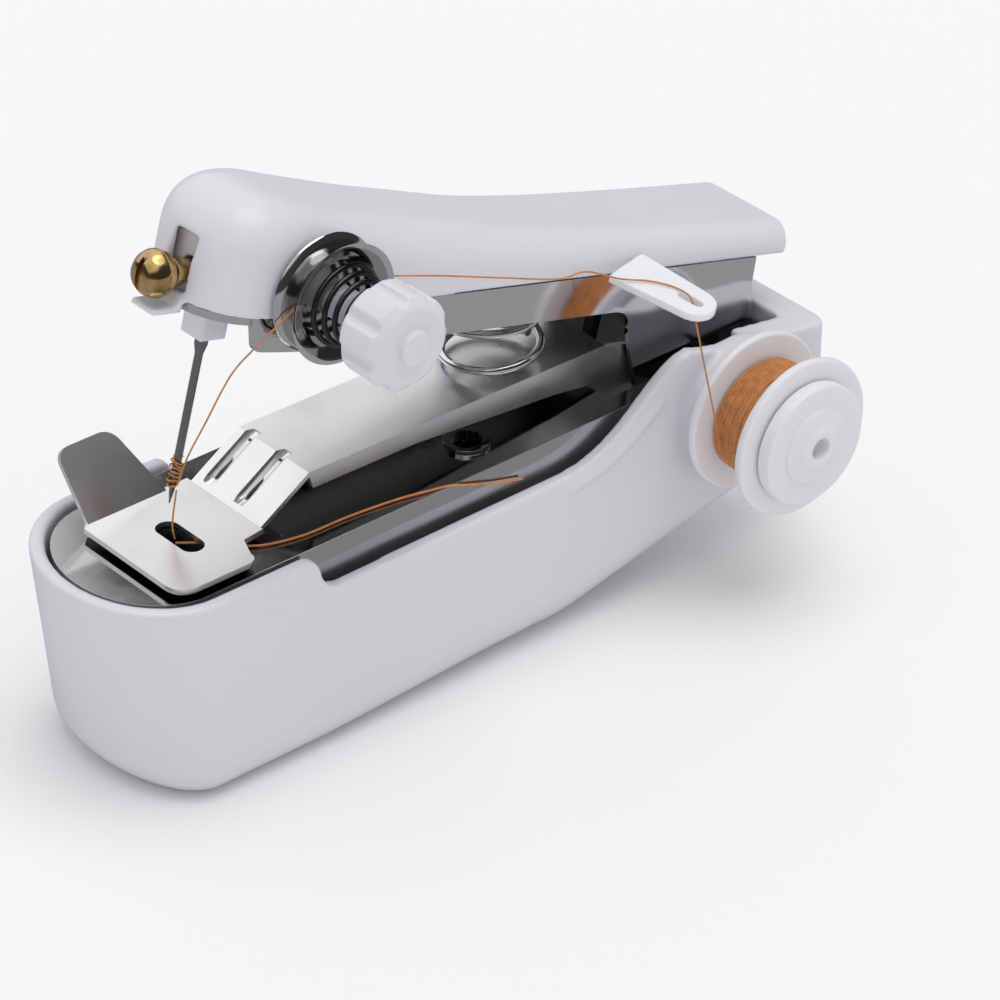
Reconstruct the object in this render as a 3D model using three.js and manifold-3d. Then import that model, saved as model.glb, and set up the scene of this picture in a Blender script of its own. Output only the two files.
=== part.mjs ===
// Hand-held manual sewing machine, in millimetres. +X points to the rear, +Z up, and the
// spool and the tension knob are on the -Y side. The origin is the middle of the tub's
// footprint, on the flat face that the machine stands on.
import * as THREE from 'three';
import Module from 'manifold-3d';
import { mergeVertices } from 'three/addons/utils/BufferGeometryUtils.js';

const wasm = await Module();
wasm.setup();

// ---------------------------------------------------------------- driving dimensions
const tubLength = 109;            // white base, nose to tail
const tubWidth = 30;
const tubWall = 1.9;
const rimHeight = 27.8;           // rim of the nose above the resting face
const noseLength = 12.5;          // half-axis of the rounded nose, seen from above
const noseDraft = 4;              // the nose leans forward by this much up to the rim
const bottomRound = 4.5;          // radius along the tub's bottom edge at the nose
const rearBottomRound = 7;        // and behind the middle
const tailRound = 2.5;            // radius of the tub's rear corners, seen from above
const liftStart = 9;              // the bottom is flat up to here and then rises
const liftSlope = 0.235;
const liftBlend = 6;
const scoopHeight = 23.1;         // top edge of the low side walls
const scoopFront = -29.5;
const shoulderHeight = 33;        // top of the rear shoulders
const shoulderPeak = 31;
const tailHeight = 28.2;          // top of the tub at its rear end
const roofFront = 41;             // the shoulders are closed behind here
const roofWall = 2.1;
const roofOpening = 21.2;         // width of the opening that the arm swings in
const roofOpeningEnd = 49.6;

const sheet = 0.7;                // thickness of the arm and of the presser plate
const clearance = 0.3;            // gap between pieces that rest on each other
const holeClearance = 0.3;        // radial gap of a pin in its hole

const frameSheet = 0.8;
const frameGap = 0.9;             // between the frame and the tub's inner wall
const deckDrop = 0.5;             // the deck lies this much under the rim
const frameDepth = 12.8;
const frameRear = 50;
const deckEnd = 22;               // behind here the deck is open for the arm
const deckOpening = 19;
const eyeletX = 2;
const eyeletY = -6.2;
const eyeletBore = 2;
const eyeletCollar = 2.9;
const eyeletHeight = 0.6;

const pivotX = 45.1;              // hinge of the arm and of the presser plate
const pivotZ = 21.5;
const pivotRadius = 1.5;
const openAngle = THREE.MathUtils.degToRad(15);   // of the released arm

const armWidth = 15.6;
const armRoof = 15.6;             // roof of the arm channel above the pivot
const armNose = -88.6;
const armNoseLength = 7.6;
const armFlangeBottom = 10.4;
const armLipBottom = 14.6;
const coverWidth = 16.8;
const headWidth = 18.6;
const coverWall = 1.4;
const coverRear = 3.3;
const coverRearHeight = 3.8;      // height of the cover's rear end above its lower edge
const headTip = -89.4;

const needleX = -83.2;            // needle, in the arm's own frame
const needleTip = -11.1;
const needleRadius = 0.5;
const shankRadius = 0.8;
const clampZ = 18.8;
const clampScrewRadius = 1.3;
const clampHeadRadius = 2.95;

const padTop = 28.8;              // presser pad above the resting face
const padFront = -45.8;
const padRear = -34.2;
const padNear = -11.7;
const padFar = 7.4;
const slopeFoot = -29.9;
const slopeTop = -22.6;
const plateTop = 33.4;
const plateWidth = 13.2;
const plateEnd = 24;
const slotX = -38.3;
const slotY = -2.1;
const slotLength = 7.6;
const slotWidth = 3;

const tensionX = -75.3;           // tension axis, in the arm's own frame
const tensionZ = 19;
const discRadius = 7.6;
const discSheet = 0.5;
const postRadius = 2.1;
const knobRadius = 5.85;
const knobGrooves = 8;

const spoolX = 38.3;
const spoolZ = 23.4;
const spoolRadius = 10.5;
const spoolInner = -17.6;
const spoolOuter = -27.1;
const spoolFlange = 1.2;
const hubRadius = 3.6;
const windingRadius = 7.7;
const spoolPinRadius = 2.2;
const spoolHeadRadius = 8;
const bossRadius = 8.6;

const looperX = -10;               // pin that the looper swings on
const looperZ = 18;
const looperPinRadius = 0.9;
const threadRadius = 0.18;
const eyeZ = -8.5;                // needle eye, in the arm's own frame

const tubFront = -tubLength / 2;
const tubRear = tubLength / 2;
const noseCentre = tubFront + noseLength;
const deckTop = rimHeight - deckDrop;
const frameWidth = tubWidth - 2 * (tubWall + frameGap);
const pinBore = pivotRadius + holeClearance;

// ---------------------------------------------------------------- helpers
function solidOf(geometry) {
  const bare = geometry.clone();
  bare.deleteAttribute('normal');
  bare.deleteAttribute('uv');
  const merged = mergeVertices(bare, 1e-4);
  return new wasm.Manifold(new wasm.Mesh({
    numProp: 3,
    vertProperties: new Float32Array(merged.attributes.position.array),
    triVerts: Uint32Array.from(merged.index.array),
  }));
}

function geometryOf(solid) {
  const mesh = solid.getMesh();
  const geometry = new THREE.BufferGeometry();
  geometry.setAttribute('position', new THREE.BufferAttribute(mesh.vertProperties, 3));
  geometry.setIndex(new THREE.BufferAttribute(mesh.triVerts, 1));
  geometry.computeVertexNormals();
  return geometry;
}

const join = (first, ...others) => geometryOf(
  others.reduce((solid, other) => solid.add(solidOf(other)), solidOf(first)));
const cut = (first, ...tools) => geometryOf(
  tools.reduce((solid, tool) => solid.subtract(solidOf(tool)), solidOf(first)));
const common = (first, second) => geometryOf(solidOf(first).intersect(solidOf(second)));

function box(x0, x1, y0, y1, z0, z1) {
  return new THREE.BoxGeometry(x1 - x0, y1 - y0, z1 - z0)
    .translate((x0 + x1) / 2, (y0 + y1) / 2, (z0 + z1) / 2);
}

// round bars along each axis, given by their two ends
function barX(radius, x0, x1, y, z, sides = 24) {
  return new THREE.CylinderGeometry(radius, radius, x1 - x0, sides)
    .rotateZ(Math.PI / 2).translate((x0 + x1) / 2, y, z);
}
function barY(radius, y0, y1, x, z, sides = 24) {
  return new THREE.CylinderGeometry(radius, radius, y1 - y0, sides)
    .translate(x, (y0 + y1) / 2, z);
}
function barZ(radius, z0, z1, x, y, sides = 24) {
  return new THREE.CylinderGeometry(radius, radius, z1 - z0, sides)
    .rotateX(Math.PI / 2).translate(x, y, (z0 + z1) / 2);
}

const shapeOf = (points) => new THREE.Shape(points.map(([x, y]) => new THREE.Vector2(x, y)));

// a shape drawn in X and Z, given a width from y0 to y1
function sidePlate(shape, y0, y1) {
  return new THREE.ExtrudeGeometry(shape, { depth: y1 - y0, bevelEnabled: false })
    .rotateX(Math.PI / 2).translate(0, y1, 0);
}

// a shape drawn in X and Y, given a height from z0 to z1
function planPlate(shape, z0, z1) {
  return new THREE.ExtrudeGeometry(shape, { depth: z1 - z0, bevelEnabled: false })
    .translate(0, 0, z0);
}

// closed skin over a row of rings, first ring to last. A ring has an odd number of points
// and is symmetric about the point numbered middle, so its ends close with straight rungs.
function loft(rings, middle) {
  const count = rings[0].length;
  const positions = rings.flat().flatMap((p) => [p.x, p.y, p.z]);
  const index = [];
  for (let r = 0; r < rings.length - 1; r += 1) {
    for (let i = 0; i < count; i += 1) {
      const a = r * count + i;
      const b = r * count + (i + 1) % count;
      index.push(a, b, a + count, b, b + count, a + count);
    }
  }
  const last = (rings.length - 1) * count;
  for (let k = 0; k < (count - 1) / 2; k += 1) {
    const [a, b] = [(middle - k + count) % count, (middle + k) % count];
    const [c, d] = [(middle + k + 1) % count, (middle - k - 1 + count) % count];
    index.push(c, b, a, d, c, a);
    index.push(last + a, last + b, last + c, last + a, last + c, last + d);
  }
  const geometry = new THREE.BufferGeometry();
  geometry.setAttribute('position', new THREE.Float32BufferAttribute(positions, 3));
  geometry.setIndex(index.filter((_, i) => {
    const [p, q, r] = index.slice(i - i % 3, i - i % 3 + 3);
    return p !== q && q !== r && r !== p;
  }));
  return geometry;
}

// round wire or thread along a smooth curve through the points
function wire(points, radius, steps, sides = 8) {
  const section = new THREE.Shape();
  section.absarc(0, 0, radius, 0, 2 * Math.PI);
  const outline = shapeOf(section.getPoints(sides).slice(0, sides).map((p) => [p.x, p.y]));
  const extrudePath = new THREE.CatmullRomCurve3(points, false, 'centripetal');
  return new THREE.ExtrudeGeometry(outline, { steps, extrudePath });
}

// closed round body about a line along Y: [radius, y] points
function turned(profile, x, z, segments = 32) {
  const points = profile.map(([radius, y]) => new THREE.Vector2(radius, y));
  return new THREE.LatheGeometry(points, segments).translate(x, 0, z);
}

const steel = new THREE.MeshStandardMaterial({ color: 0xd2d4d6, metalness: 1, roughness: 0.14 });
const whitePlastic = new THREE.MeshStandardMaterial({ color: 0xe6e6ea, roughness: 0.35 });
const blackSteel = new THREE.MeshStandardMaterial({ color: 0x3a3a3c, metalness: 1, roughness: 0.3 });
const yellowZinc = new THREE.MeshStandardMaterial({ color: 0xc9a04a, metalness: 1, roughness: 0.25 });
const orangeThread = new THREE.MeshStandardMaterial({ color: 0xb8703a, roughness: 0.9 });

function piece(name, geometry, material) {
  const mesh = new THREE.Mesh(geometry, material);
  mesh.name = name;
  return mesh;
}

// ---------------------------------------------------------------- base
// rise of the tub's bottom towards the rear
function bottomLift(x) {
  const run = x - liftStart;
  if (run <= 0) return 0;
  if (run < liftBlend) return liftSlope * run * run / (2 * liftBlend);
  return liftSlope * (run - liftBlend / 2);
}

const nosePoints = 18;

// outline of the tub seen from above, inset from its outer skin
function tubOutline(inset, drop) {
  const front = tubFront + inset + noseDraft * drop;
  const half = tubWidth / 2 - inset;
  const rear = tubRear - inset;
  const round = Math.max(tailRound - inset / 2, 0.5);
  const points = [];
  for (let i = 0; i <= nosePoints; i += 1) {
    const turn = Math.PI / 2 + Math.PI * i / nosePoints;
    points.push([noseCentre + (noseCentre - front) * Math.cos(turn), half * Math.sin(turn)]);
  }
  for (let i = 1; i <= 9; i += 1) points.push([noseCentre + (rear - round - noseCentre) * i / 10, -half]);
  for (let i = 0; i <= 4; i += 1) {
    const turn = -Math.PI / 2 + Math.PI / 2 * i / 4;
    points.push([rear - round + round * Math.cos(turn), -half + round + round * Math.sin(turn)]);
  }
  for (let i = 0; i <= 4; i += 1) {
    const turn = Math.PI / 2 * i / 4;
    points.push([rear - round + round * Math.cos(turn), half - round + round * Math.sin(turn)]);
  }
  for (let i = 9; i >= 1; i -= 1) points.push([noseCentre + (rear - round - noseCentre) * i / 10, half]);
  return points;
}

// solid tub shape from the bottom up to a flat top, its skin inset by a wall
function tubBody(wall, top) {
  const ring = (height, share) => {
    const drop = 1 - height / rimHeight;
    const inner = tubOutline(wall + 1, drop);
    return tubOutline(wall, drop).map(([x, y], i) => {
      const blend = THREE.MathUtils.smoothstep(x, -30, 8);
      const round = THREE.MathUtils.lerp(bottomRound, rearBottomRound, blend) - wall / 2;
      const inset = round * (1 - Math.sin(share));
      const z = share < Math.PI / 2 ? wall + round * (1 - Math.cos(share)) : height;
      return new THREE.Vector3(x + inset * (inner[i][0] - x), y + inset * (inner[i][1] - y),
        z + bottomLift(x) * (1 - z / rimHeight));
    });
  };
  const rings = [];
  for (let i = 0; i <= 4; i += 1) {
    const share = Math.PI / 2 * i / 4;
    rings.push(ring(wall + bottomRound * (1 - Math.cos(share)), Math.min(share, 1.5707)));
  }
  rings.push(ring(rimHeight / 2, Math.PI / 2), ring(rimHeight, Math.PI / 2));
  rings.push(tubOutline(wall, 0).map(([x, y]) => new THREE.Vector3(x, y, top)));
  return loft(rings, nosePoints / 2);
}

// what is cut away above the tub's edge: nose rim, scoop, shoulder and sloping tail
function aboveTub() {
  const shape = new THREE.Shape();
  shape.moveTo(tubFront - 5, rimHeight);
  shape.lineTo(scoopFront, rimHeight);
  shape.quadraticCurveTo(scoopFront + 1.6, rimHeight - 0.2, scoopFront + 2, rimHeight - 2);
  shape.quadraticCurveTo(scoopFront + 2.6, scoopHeight - 0.2, scoopFront + 5, scoopHeight - 0.4);
  shape.lineTo(10.5, scoopHeight);
  shape.bezierCurveTo(20.5, scoopHeight, 24.5, shoulderHeight, shoulderPeak, shoulderHeight);
  shape.quadraticCurveTo(shoulderPeak + 3.5, shoulderHeight - 1.8, tubRear + 2, tailHeight);
  shape.lineTo(tubRear + 2, shoulderHeight + 6);
  shape.lineTo(tubFront - 5, shoulderHeight + 6);
  return sidePlate(shape, -tubWidth, tubWidth);
}

// places of the two screws that hold the frame, and of the frame's tabs over them
const screwPlaces = [[-24, -8.6, 'frame_screw_front'], [16, 8.6, 'frame_screw_rear']];
const tabHeight = deckTop - frameDepth;
const screwRadius = 1.25;
const screwHeadRadius = 2.4;
const screwHeadTop = 5.6;
const screwBossRadius = 3.8;

function baseHousing() {
  const outer = cut(tubBody(0, shoulderHeight + 4), aboveTub());
  const roof = box(roofFront, tubRear, -tubWidth / 2, tubWidth / 2,
    tailHeight - roofWall, shoulderHeight + 6);
  const hollow = cut(tubBody(tubWall, shoulderHeight + 5), roof);
  const opening = box(roofFront - 1, roofOpeningEnd, -roofOpening / 2, roofOpening / 2,
    tailHeight - roofWall - 1, shoulderHeight + 6);
  let tub = cut(outer, hollow, opening);
  const bossTop = spoolInner + 0.4;
  tub = join(tub, barY(bossRadius, bossTop, -tubWidth / 2 + 1, spoolX, spoolZ, 36));
  tub = cut(tub,
    barY(spoolPinRadius + holeClearance, -tubWidth, -tubWidth / 2 + tubWall + 1, spoolX, spoolZ));
  for (const [x, y] of screwPlaces) {
    tub = join(tub, barZ(screwBossRadius, bottomLift(x) + 1, tabHeight - clearance, x, y));
    tub = cut(tub,
      barZ(screwHeadRadius + holeClearance, -5, screwHeadTop + clearance, x, y),
      barZ(screwRadius + holeClearance, 0, tabHeight + 1, x, y));
  }
  return tub;
}

// ---------------------------------------------------------------- frame
function lowerFrame() {
  const half = frameWidth / 2;
  const noseInset = tubWall + deckDrop;
  const deck = new THREE.Shape();
  deck.moveTo(frameRear, -half);
  deck.lineTo(frameRear, half);
  deck.lineTo(noseCentre, half);
  deck.absellipse(noseCentre, 0, noseLength - noseInset, half, Math.PI / 2, 1.5 * Math.PI);
  let frame = planPlate(deck, deckTop - frameSheet, deckTop);
  for (const side of [-1, 1]) {
    const outer = side * half;
    const inner = side * (half - frameSheet);
    frame = join(frame, box(noseCentre + 1, frameRear, Math.min(outer, inner), Math.max(outer, inner),
      tabHeight, deckTop));
  }
  for (const [x, y] of screwPlaces) {
    const side = Math.sign(y);
    const reach = side * 5.2;
    frame = join(frame, box(x - 4, x + 4, Math.min(side * half, reach), Math.max(side * half, reach),
      tabHeight, tabHeight + frameSheet));
  }
  frame = join(frame, barZ(eyeletCollar, deckTop - frameSheet, deckTop + eyeletHeight, eyeletX, eyeletY));
  const lowRear = box(roofFront - 2, frameRear + 1, -tubWidth, tubWidth,
    tailHeight - roofWall - clearance - 0.5, deckTop + 1);
  const rearBevel = sidePlate(shapeOf([[34, 10], [frameRear + 1, 10], [frameRear + 1, 17.5]]),
    -tubWidth, tubWidth);
  const screwHoles = screwPlaces.map(([x, y]) => barZ(screwRadius + holeClearance, 5, 20, x, y));
  return cut(frame,
    box(deckEnd, frameRear + 1, -deckOpening / 2, deckOpening / 2, 0, deckTop + 1),
    lowRear, rearBevel, ...screwHoles,
    barZ(eyeletBore, 20, 35, eyeletX, eyeletY),
    planPlate(slotShape(slotLength + 1.4, slotWidth + 1.2), 20, 30),
    barY(pinBore, -tubWidth, tubWidth, pivotX, pivotZ),
    barY(looperPinRadius + holeClearance, -tubWidth, tubWidth, looperX, looperZ));
}

// slot with round ends that runs across the machine under the needle
function slotShape(length, width) {
  const reach = (length - width) / 2;
  const shape = new THREE.Shape();
  shape.absarc(slotX, slotY + reach, width / 2, 0, Math.PI);
  shape.absarc(slotX, slotY - reach, width / 2, Math.PI, 2 * Math.PI);
  return shape;
}

function frameScrew(x, y) {
  const profile = [[0, screwHeadTop - 1.9], [screwHeadRadius, screwHeadTop - 1.9],
    [screwHeadRadius, screwHeadTop - 0.7], [screwRadius, screwHeadTop],
    [screwRadius, tabHeight + 2.2], [0.5, tabHeight + 3.4], [0, tabHeight + 3.4]];
  return turned(profile, 0, 0, 20).rotateX(Math.PI / 2).translate(x, y, 0);
}

const pivotPinLength = frameWidth + 2 * (frameGap - clearance);
const looperPinLength = frameWidth + 0.8;

// ---------------------------------------------------------------- presser
function presserPlate() {
  const half = plateWidth / 2;
  const bottom = padTop - sheet;
  const pad = new THREE.Shape();
  pad.moveTo(slopeFoot, padFar);
  pad.lineTo(padFront + 1, padFar);
  pad.lineTo(padFront, padFar - 1);
  pad.lineTo(padFront, padNear + 3);
  pad.quadraticCurveTo(padFront, padNear, padFront + 3, padNear);
  pad.lineTo(padRear - 1.5, padNear);
  pad.quadraticCurveTo(padRear, padNear, padRear, padNear + 1.5);
  pad.lineTo(padRear + 1.2, -half - 0.8);
  pad.lineTo(slopeFoot, -half - 0.4);
  const padPlate = planPlate(pad, bottom, padTop);
  const side = shapeOf([[slopeFoot - 1, bottom], [slopeFoot, bottom],
    [slopeTop, plateTop - sheet], [plateEnd, plateTop - sheet - 0.6], [plateEnd, plateTop - 0.6],
    [slopeTop, plateTop], [slopeFoot, padTop], [slopeFoot - 1, padTop]]);
  let plate = join(padPlate, sidePlate(side, -half, half));
  const ear = new THREE.Shape();
  ear.moveTo(slopeTop, plateTop - sheet / 2);
  ear.lineTo(slopeTop + 0.6, 31);
  ear.lineTo(-6.4, 30.8);
  ear.lineTo(15.6, 28.9);
  ear.lineTo(deckEnd + 0.8, deckTop + 0.6);
  ear.lineTo(pivotX - 3.4, pivotZ - 1.4);
  ear.absarc(pivotX, pivotZ, 3.4, Math.PI * 1.1, Math.PI * 2.45, false);
  ear.lineTo(plateEnd + 3, plateTop - 1.6);
  ear.lineTo(plateEnd, plateTop - 0.8);
  for (const y of [-half, half - sheet]) plate = join(plate, sidePlate(ear, y, y + sheet));
  return cut(join(plate, liftTab()),
    planPlate(slotShape(slotLength, slotWidth), 20, 40),
    barY(pinBore, -tubWidth, tubWidth, pivotX, pivotZ));
}

const tabLean = THREE.MathUtils.degToRad(39);
const tabFront = -44.9;
const tabRear = -33.4;
const tabReach = 9.4;

function liftTab() {
  const shape = new THREE.Shape();
  shape.moveTo(tabFront, 0);
  shape.lineTo(tabRear, 0);
  shape.lineTo(tabRear - 2.7, tabReach - 2.5);
  shape.quadraticCurveTo(tabRear - 3.4, tabReach, tabRear - 5.5, tabReach);
  shape.lineTo(tabFront + 2, tabReach);
  shape.quadraticCurveTo(tabFront, tabReach, tabFront, tabReach - 2);
  return new THREE.ExtrudeGeometry(shape, { depth: sheet, bevelEnabled: false })
    .rotateX(Math.PI / 2 - tabLean).translate(0, padFar - 0.1, padTop - sheet / 2 - 0.1);
}

// coil spring whose rings fan out from the plate to the sloping roof of the arm
const springCoils = 3.4;
const springRadius = 6.1;
const springWire = 0.55;

function mainSpring() {
  const gap = springWire + clearance + 0.15;
  const low = new THREE.Vector3(11.1, 0, plateTop + gap - 0.2);
  const roofPoint = armPoint(-39, 0, armRoof - sheet - gap);
  const points = [];
  const count = Math.round(springCoils * 12);
  for (let i = 0; i <= count; i += 1) {
    const share = i / count;
    const rise = Math.min(Math.max((share - 0.12) / 0.76, 0), 1);
    const tilt = openAngle * rise;
    const turn = 2 * Math.PI * springCoils * share;
    const centre = low.clone().lerp(roofPoint, rise);
    const along = springRadius * Math.cos(turn);
    points.push(new THREE.Vector3(centre.x + along * Math.cos(tilt),
      springRadius * Math.sin(turn), centre.z - along * Math.sin(tilt)));
  }
  return wire(points, springWire, count, 6);
}

// ---------------------------------------------------------------- looper
const looperThick = 0.8;
const looperNear = 1;
const looperSpringRadius = 1.9;

// plate that swings under the deck: its hook points forward, its foot lies under the strip
function looper() {
  const shape = new THREE.Shape();
  shape.moveTo(looperX, 9);
  shape.lineTo(24, 17);
  shape.lineTo(27.5, 17);
  shape.lineTo(27.5, 18.7);
  shape.lineTo(23.5, 18.7);
  shape.lineTo(looperX + 3, looperZ + 3);
  shape.lineTo(-30, 18.6);
  shape.quadraticCurveTo(-35.5, 19.4, -39, 21.6);
  shape.quadraticCurveTo(-37.5, 17.6, -30, 15.8);
  shape.lineTo(looperX - 4, looperZ - 3);
  return cut(sidePlate(shape, looperNear, looperNear + looperThick),
    barY(looperPinRadius + holeClearance, 0, 4, looperX, looperZ));
}

function looperSpring() {
  const points = [];
  const turns = 3;
  const count = turns * 12;
  const start = looperNear + looperThick + 1;
  points.push(new THREE.Vector3(looperX + 9, start, looperZ + looperSpringRadius));
  for (let i = 0; i <= count; i += 1) {
    const turn = Math.PI / 2 + 2 * Math.PI * i / 12;
    points.push(new THREE.Vector3(looperX + looperSpringRadius * Math.cos(turn),
      start + 0.2 + 2.4 * i / count, looperZ + looperSpringRadius * Math.sin(turn)));
  }
  points.push(new THREE.Vector3(looperX - 9, start + 3, looperZ + looperSpringRadius));
  return wire(points, 0.3, count + 8, 6);
}

// ---------------------------------------------------------------- arm
// place in the machine's frame of a point given in the released arm's frame
function armPoint(x, y, z) {
  return new THREE.Vector3(
    pivotX + x * Math.cos(openAngle) + z * Math.sin(openAngle), y,
    pivotZ - x * Math.sin(openAngle) + z * Math.cos(openAngle));
}

function armOutline(inset, rear) {
  const half = armWidth / 2 - inset;
  const centre = armNose + armNoseLength;
  const shape = new THREE.Shape();
  shape.moveTo(rear, -half);
  shape.lineTo(rear, half);
  shape.lineTo(centre, half);
  shape.absellipse(centre, 0, armNoseLength - inset, half, Math.PI / 2, 1.5 * Math.PI);
  return shape;
}

function armChannel() {
  const shell = cut(planPlate(armOutline(0, 6), -8, armRoof),
    planPlate(armOutline(sheet, 8), -9, armRoof - sheet));
  const side = new THREE.Shape();
  side.moveTo(-1.2, armRoof + 1);
  side.lineTo(armNose - 1, armRoof + 1);
  side.lineTo(armNose - 1, armLipBottom);
  side.lineTo(-83, armLipBottom);
  side.lineTo(-82.4, armFlangeBottom + 1.8);
  side.quadraticCurveTo(-82.2, armFlangeBottom + 0.9, -81, armFlangeBottom + 0.8);
  side.quadraticCurveTo(-74, armFlangeBottom, -68, armFlangeBottom);
  side.lineTo(-24.5, armFlangeBottom);
  side.quadraticCurveTo(-21.4, armFlangeBottom, -21.2, armFlangeBottom - 3);
  side.lineTo(-17, -1.5);
  side.lineTo(-3, -4.3);
  side.absarc(0, 0, 3.8, Math.PI * 1.35, Math.PI * 2.1, false);
  side.lineTo(1.4, 5);
  side.lineTo(-0.8, 12);
  return cut(common(shell, sidePlate(side, -armWidth, armWidth)),
    box(-87.6, -77.5, -3.7, 3.7, armRoof - 3, armRoof + 2),
    barY(pinBore, -tubWidth, tubWidth, 0, 0));
}

// height of the cover's ridge above its lower edge, rear to head
const coverTop = new THREE.CatmullRomCurve3([
  [coverRear, coverRearHeight], [-10, 4.2], [-22, 4.7], [-32, 5.3], [-42, 6.3], [-49, 7.4],
  [-56, 8.5], [-62, 9.4], [-69, 10.7], [-75, 11.9], [-79, 12.75], [-82, 12.8],
  [-84.3, 12.4], [-86.6, 11.1], [-88.2, 8.6], [-89, 5.6], [headTip, 4.2],
].map(([x, z]) => new THREE.Vector3(x, 0, z)), false, 'centripetal');

function coverHeight(x) {
  let low = 0;
  let high = 1;
  for (let i = 0; i < 30; i += 1) {
    const middle = (low + high) / 2;
    if (coverTop.getPoint(middle).x > x) low = middle;
    else high = middle;
  }
  return coverTop.getPoint(low).z;
}

function coverHalfWidth(x) {
  const noseStart = -80.5;
  const swell = THREE.MathUtils.smoothstep(-x, 45, 72);
  const half = (coverWidth + (headWidth - coverWidth) * swell) / 2;
  if (x > noseStart) return half;
  const share = (noseStart - x) / (noseStart - headTip);
  return half * Math.sqrt(Math.max(1 - share ** 2.3, 0.004));
}

const coverBottom = armRoof + clearance;

// one cross-section of the cover: flat bottom, upright sides and a rounded top
function coverSection(x, wall) {
  const half = Math.max(coverHalfWidth(x) - wall, 0.3);
  const height = Math.max(coverHeight(x) - wall, 0.6);
  const round = Math.min(half * 0.62, height * 0.75, 6);
  const points = [];
  const corner = (side, from) => {
    for (let i = 0; i <= 5; i += 1) {
      const turn = from + side * Math.PI / 2 * i / 5;
      points.push(new THREE.Vector3(x, (half - round) * Math.sign(Math.cos(from + side * 0.1)) +
        round * Math.cos(turn), coverBottom + height - round + round * Math.sin(turn)));
    }
  };
  const low = coverBottom + (wall > 0 ? -1 : 0);
  points.push(new THREE.Vector3(x, 0, low), new THREE.Vector3(x, half, low));
  corner(1, 0);
  corner(1, Math.PI / 2);
  points.push(new THREE.Vector3(x, -half, low));
  return points;
}

function coverBody(wall, rear, front) {
  const stations = [rear, -10, -22, -32, -42, -50, -56, -62, -68, -73, -77, -80.5, -83, -85, -86.6, -87.8,
    -88.6, -89.1, front].filter((x) => x >= front && x <= rear);
  return loft(stations.reverse().map((x) => coverSection(x, wall)), 0);
}

function topCover() {
  const outer = coverBody(0, coverRear, headTip + 0.05);
  const hollow = coverBody(coverWall, coverRear - coverWall, headTip + coverWall);
  const ledge = sidePlate(shapeOf([[-93.2, coverBottom - 1.5], [-89, coverBottom - 1.5],
    [-89, coverBottom + 0.05], [-88.1, coverBottom + 0.05], [-88.1, coverBottom + 0.8],
    [-89.2, coverBottom + 0.8], [-89.8, coverBottom - 0.7], [-93.2, coverBottom - 0.7]]), -2.2, 2.2);
  const slot = box(-95, -85, -2, 2, coverBottom + 0.8, coverBottom + 7.6);
  return cut(join(cut(outer, hollow), ledge), slot,
    barY(postRadius + holeClearance, -15, -5, tensionX, tensionZ));
}

const holderHalf = 3.1;

function needleHolder() {
  const body = join(box(-87.2, -79, -holderHalf, holderHalf, armRoof - 1.2, coverBottom + 7.2),
    box(-85.1, -81.3, -1.9, 1.9, 10.3, armRoof));
  return cut(body,
    barZ(shankRadius + holeClearance, 5, 30, needleX, 0, 16),
    barX(clampScrewRadius + holeClearance, -90, needleX, 0, clampZ, 16));
}

function needle() {
  const profile = [[0, needleTip], [0.12, needleTip], [needleRadius, needleTip + 3.6],
    [needleRadius, 8], [shankRadius, 9.2], [shankRadius, coverBottom + 5.6], [0, coverBottom + 5.6]];
  const blade = turned(profile, 0, 0, 12).rotateX(Math.PI / 2).translate(needleX, 0, 0);
  return cut(blade, box(needleX - 2, needleX + 2, -0.17, 0.17, eyeZ - 0.5, eyeZ + 0.9));
}

// round-headed screw and its collar, along X at the front of the head
const collarFront = -90.1;
const collarThick = 1.3;

function clampScrew() {
  const reach = needleX - shankRadius - clearance;
  const profile = [[0, collarFront - clearance - 4.4], [1.6, collarFront - clearance - 4.1],
    [2.7, collarFront - clearance - 3], [clampHeadRadius, collarFront - clearance - 1.8],
    [2.6, collarFront - clearance - 0.5], [1.9, collarFront - clearance],
    [clampScrewRadius, collarFront - clearance], [clampScrewRadius, reach], [0, reach]];
  const screw = turned(profile, 0, 0, 24).rotateZ(-Math.PI / 2).translate(0, 0, clampZ);
  return cut(screw, box(-100, collarFront - clearance - 3.6, -0.35, 0.35, clampZ - 4, clampZ + 4));
}

function clampCollar() {
  return cut(barX(1.75, collarFront, collarFront + collarThick, 0, clampZ, 20),
    barX(clampScrewRadius + holeClearance, -100, -80, 0, clampZ, 20));
}

// leaf that leads the thread from the arm to the spool
const guideRoot = new THREE.Vector3(-26, -8.75, 16.7);
const guideTip = new THREE.Vector3(-22.3, -21.4, 15.2);
const guideThick = 1.1;
const guideTipRadius = 2.8;
const guideEye = 2.8;              // from the leaf's tip to the middle of its eye
const guideLength = guideRoot.distanceTo(guideTip);

function guideLeaf() {
  const shape = new THREE.Shape();
  shape.moveTo(0.4, -3.6);
  shape.lineTo(guideLength - guideTipRadius, -guideTipRadius);
  shape.absarc(guideLength - guideTipRadius, 0, guideTipRadius, -Math.PI / 2, Math.PI / 2, false);
  shape.lineTo(0.4, 3.4);
  const eye = new THREE.Path();
  eye.absarc(guideLength - 4.4, 0, 0.6, Math.PI / 2, 1.5 * Math.PI, false);
  eye.absarc(guideLength - 2.2, 0, 0.6, -Math.PI / 2, Math.PI / 2, false);
  shape.holes.push(eye);
  return new THREE.ExtrudeGeometry(shape, { depth: guideThick, bevelEnabled: false });
}

const guideAlong = guideTip.clone().sub(guideRoot).normalize();
const guideUp = new THREE.Vector3(-0.2, -0.16, 0.97);
const guideAcross = guideUp.clone().cross(guideAlong).normalize();
guideUp.crossVectors(guideAlong, guideAcross).normalize();
const guidePlace = new THREE.Matrix4().makeBasis(guideAlong, guideAcross, guideUp).setPosition(guideRoot);

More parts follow.
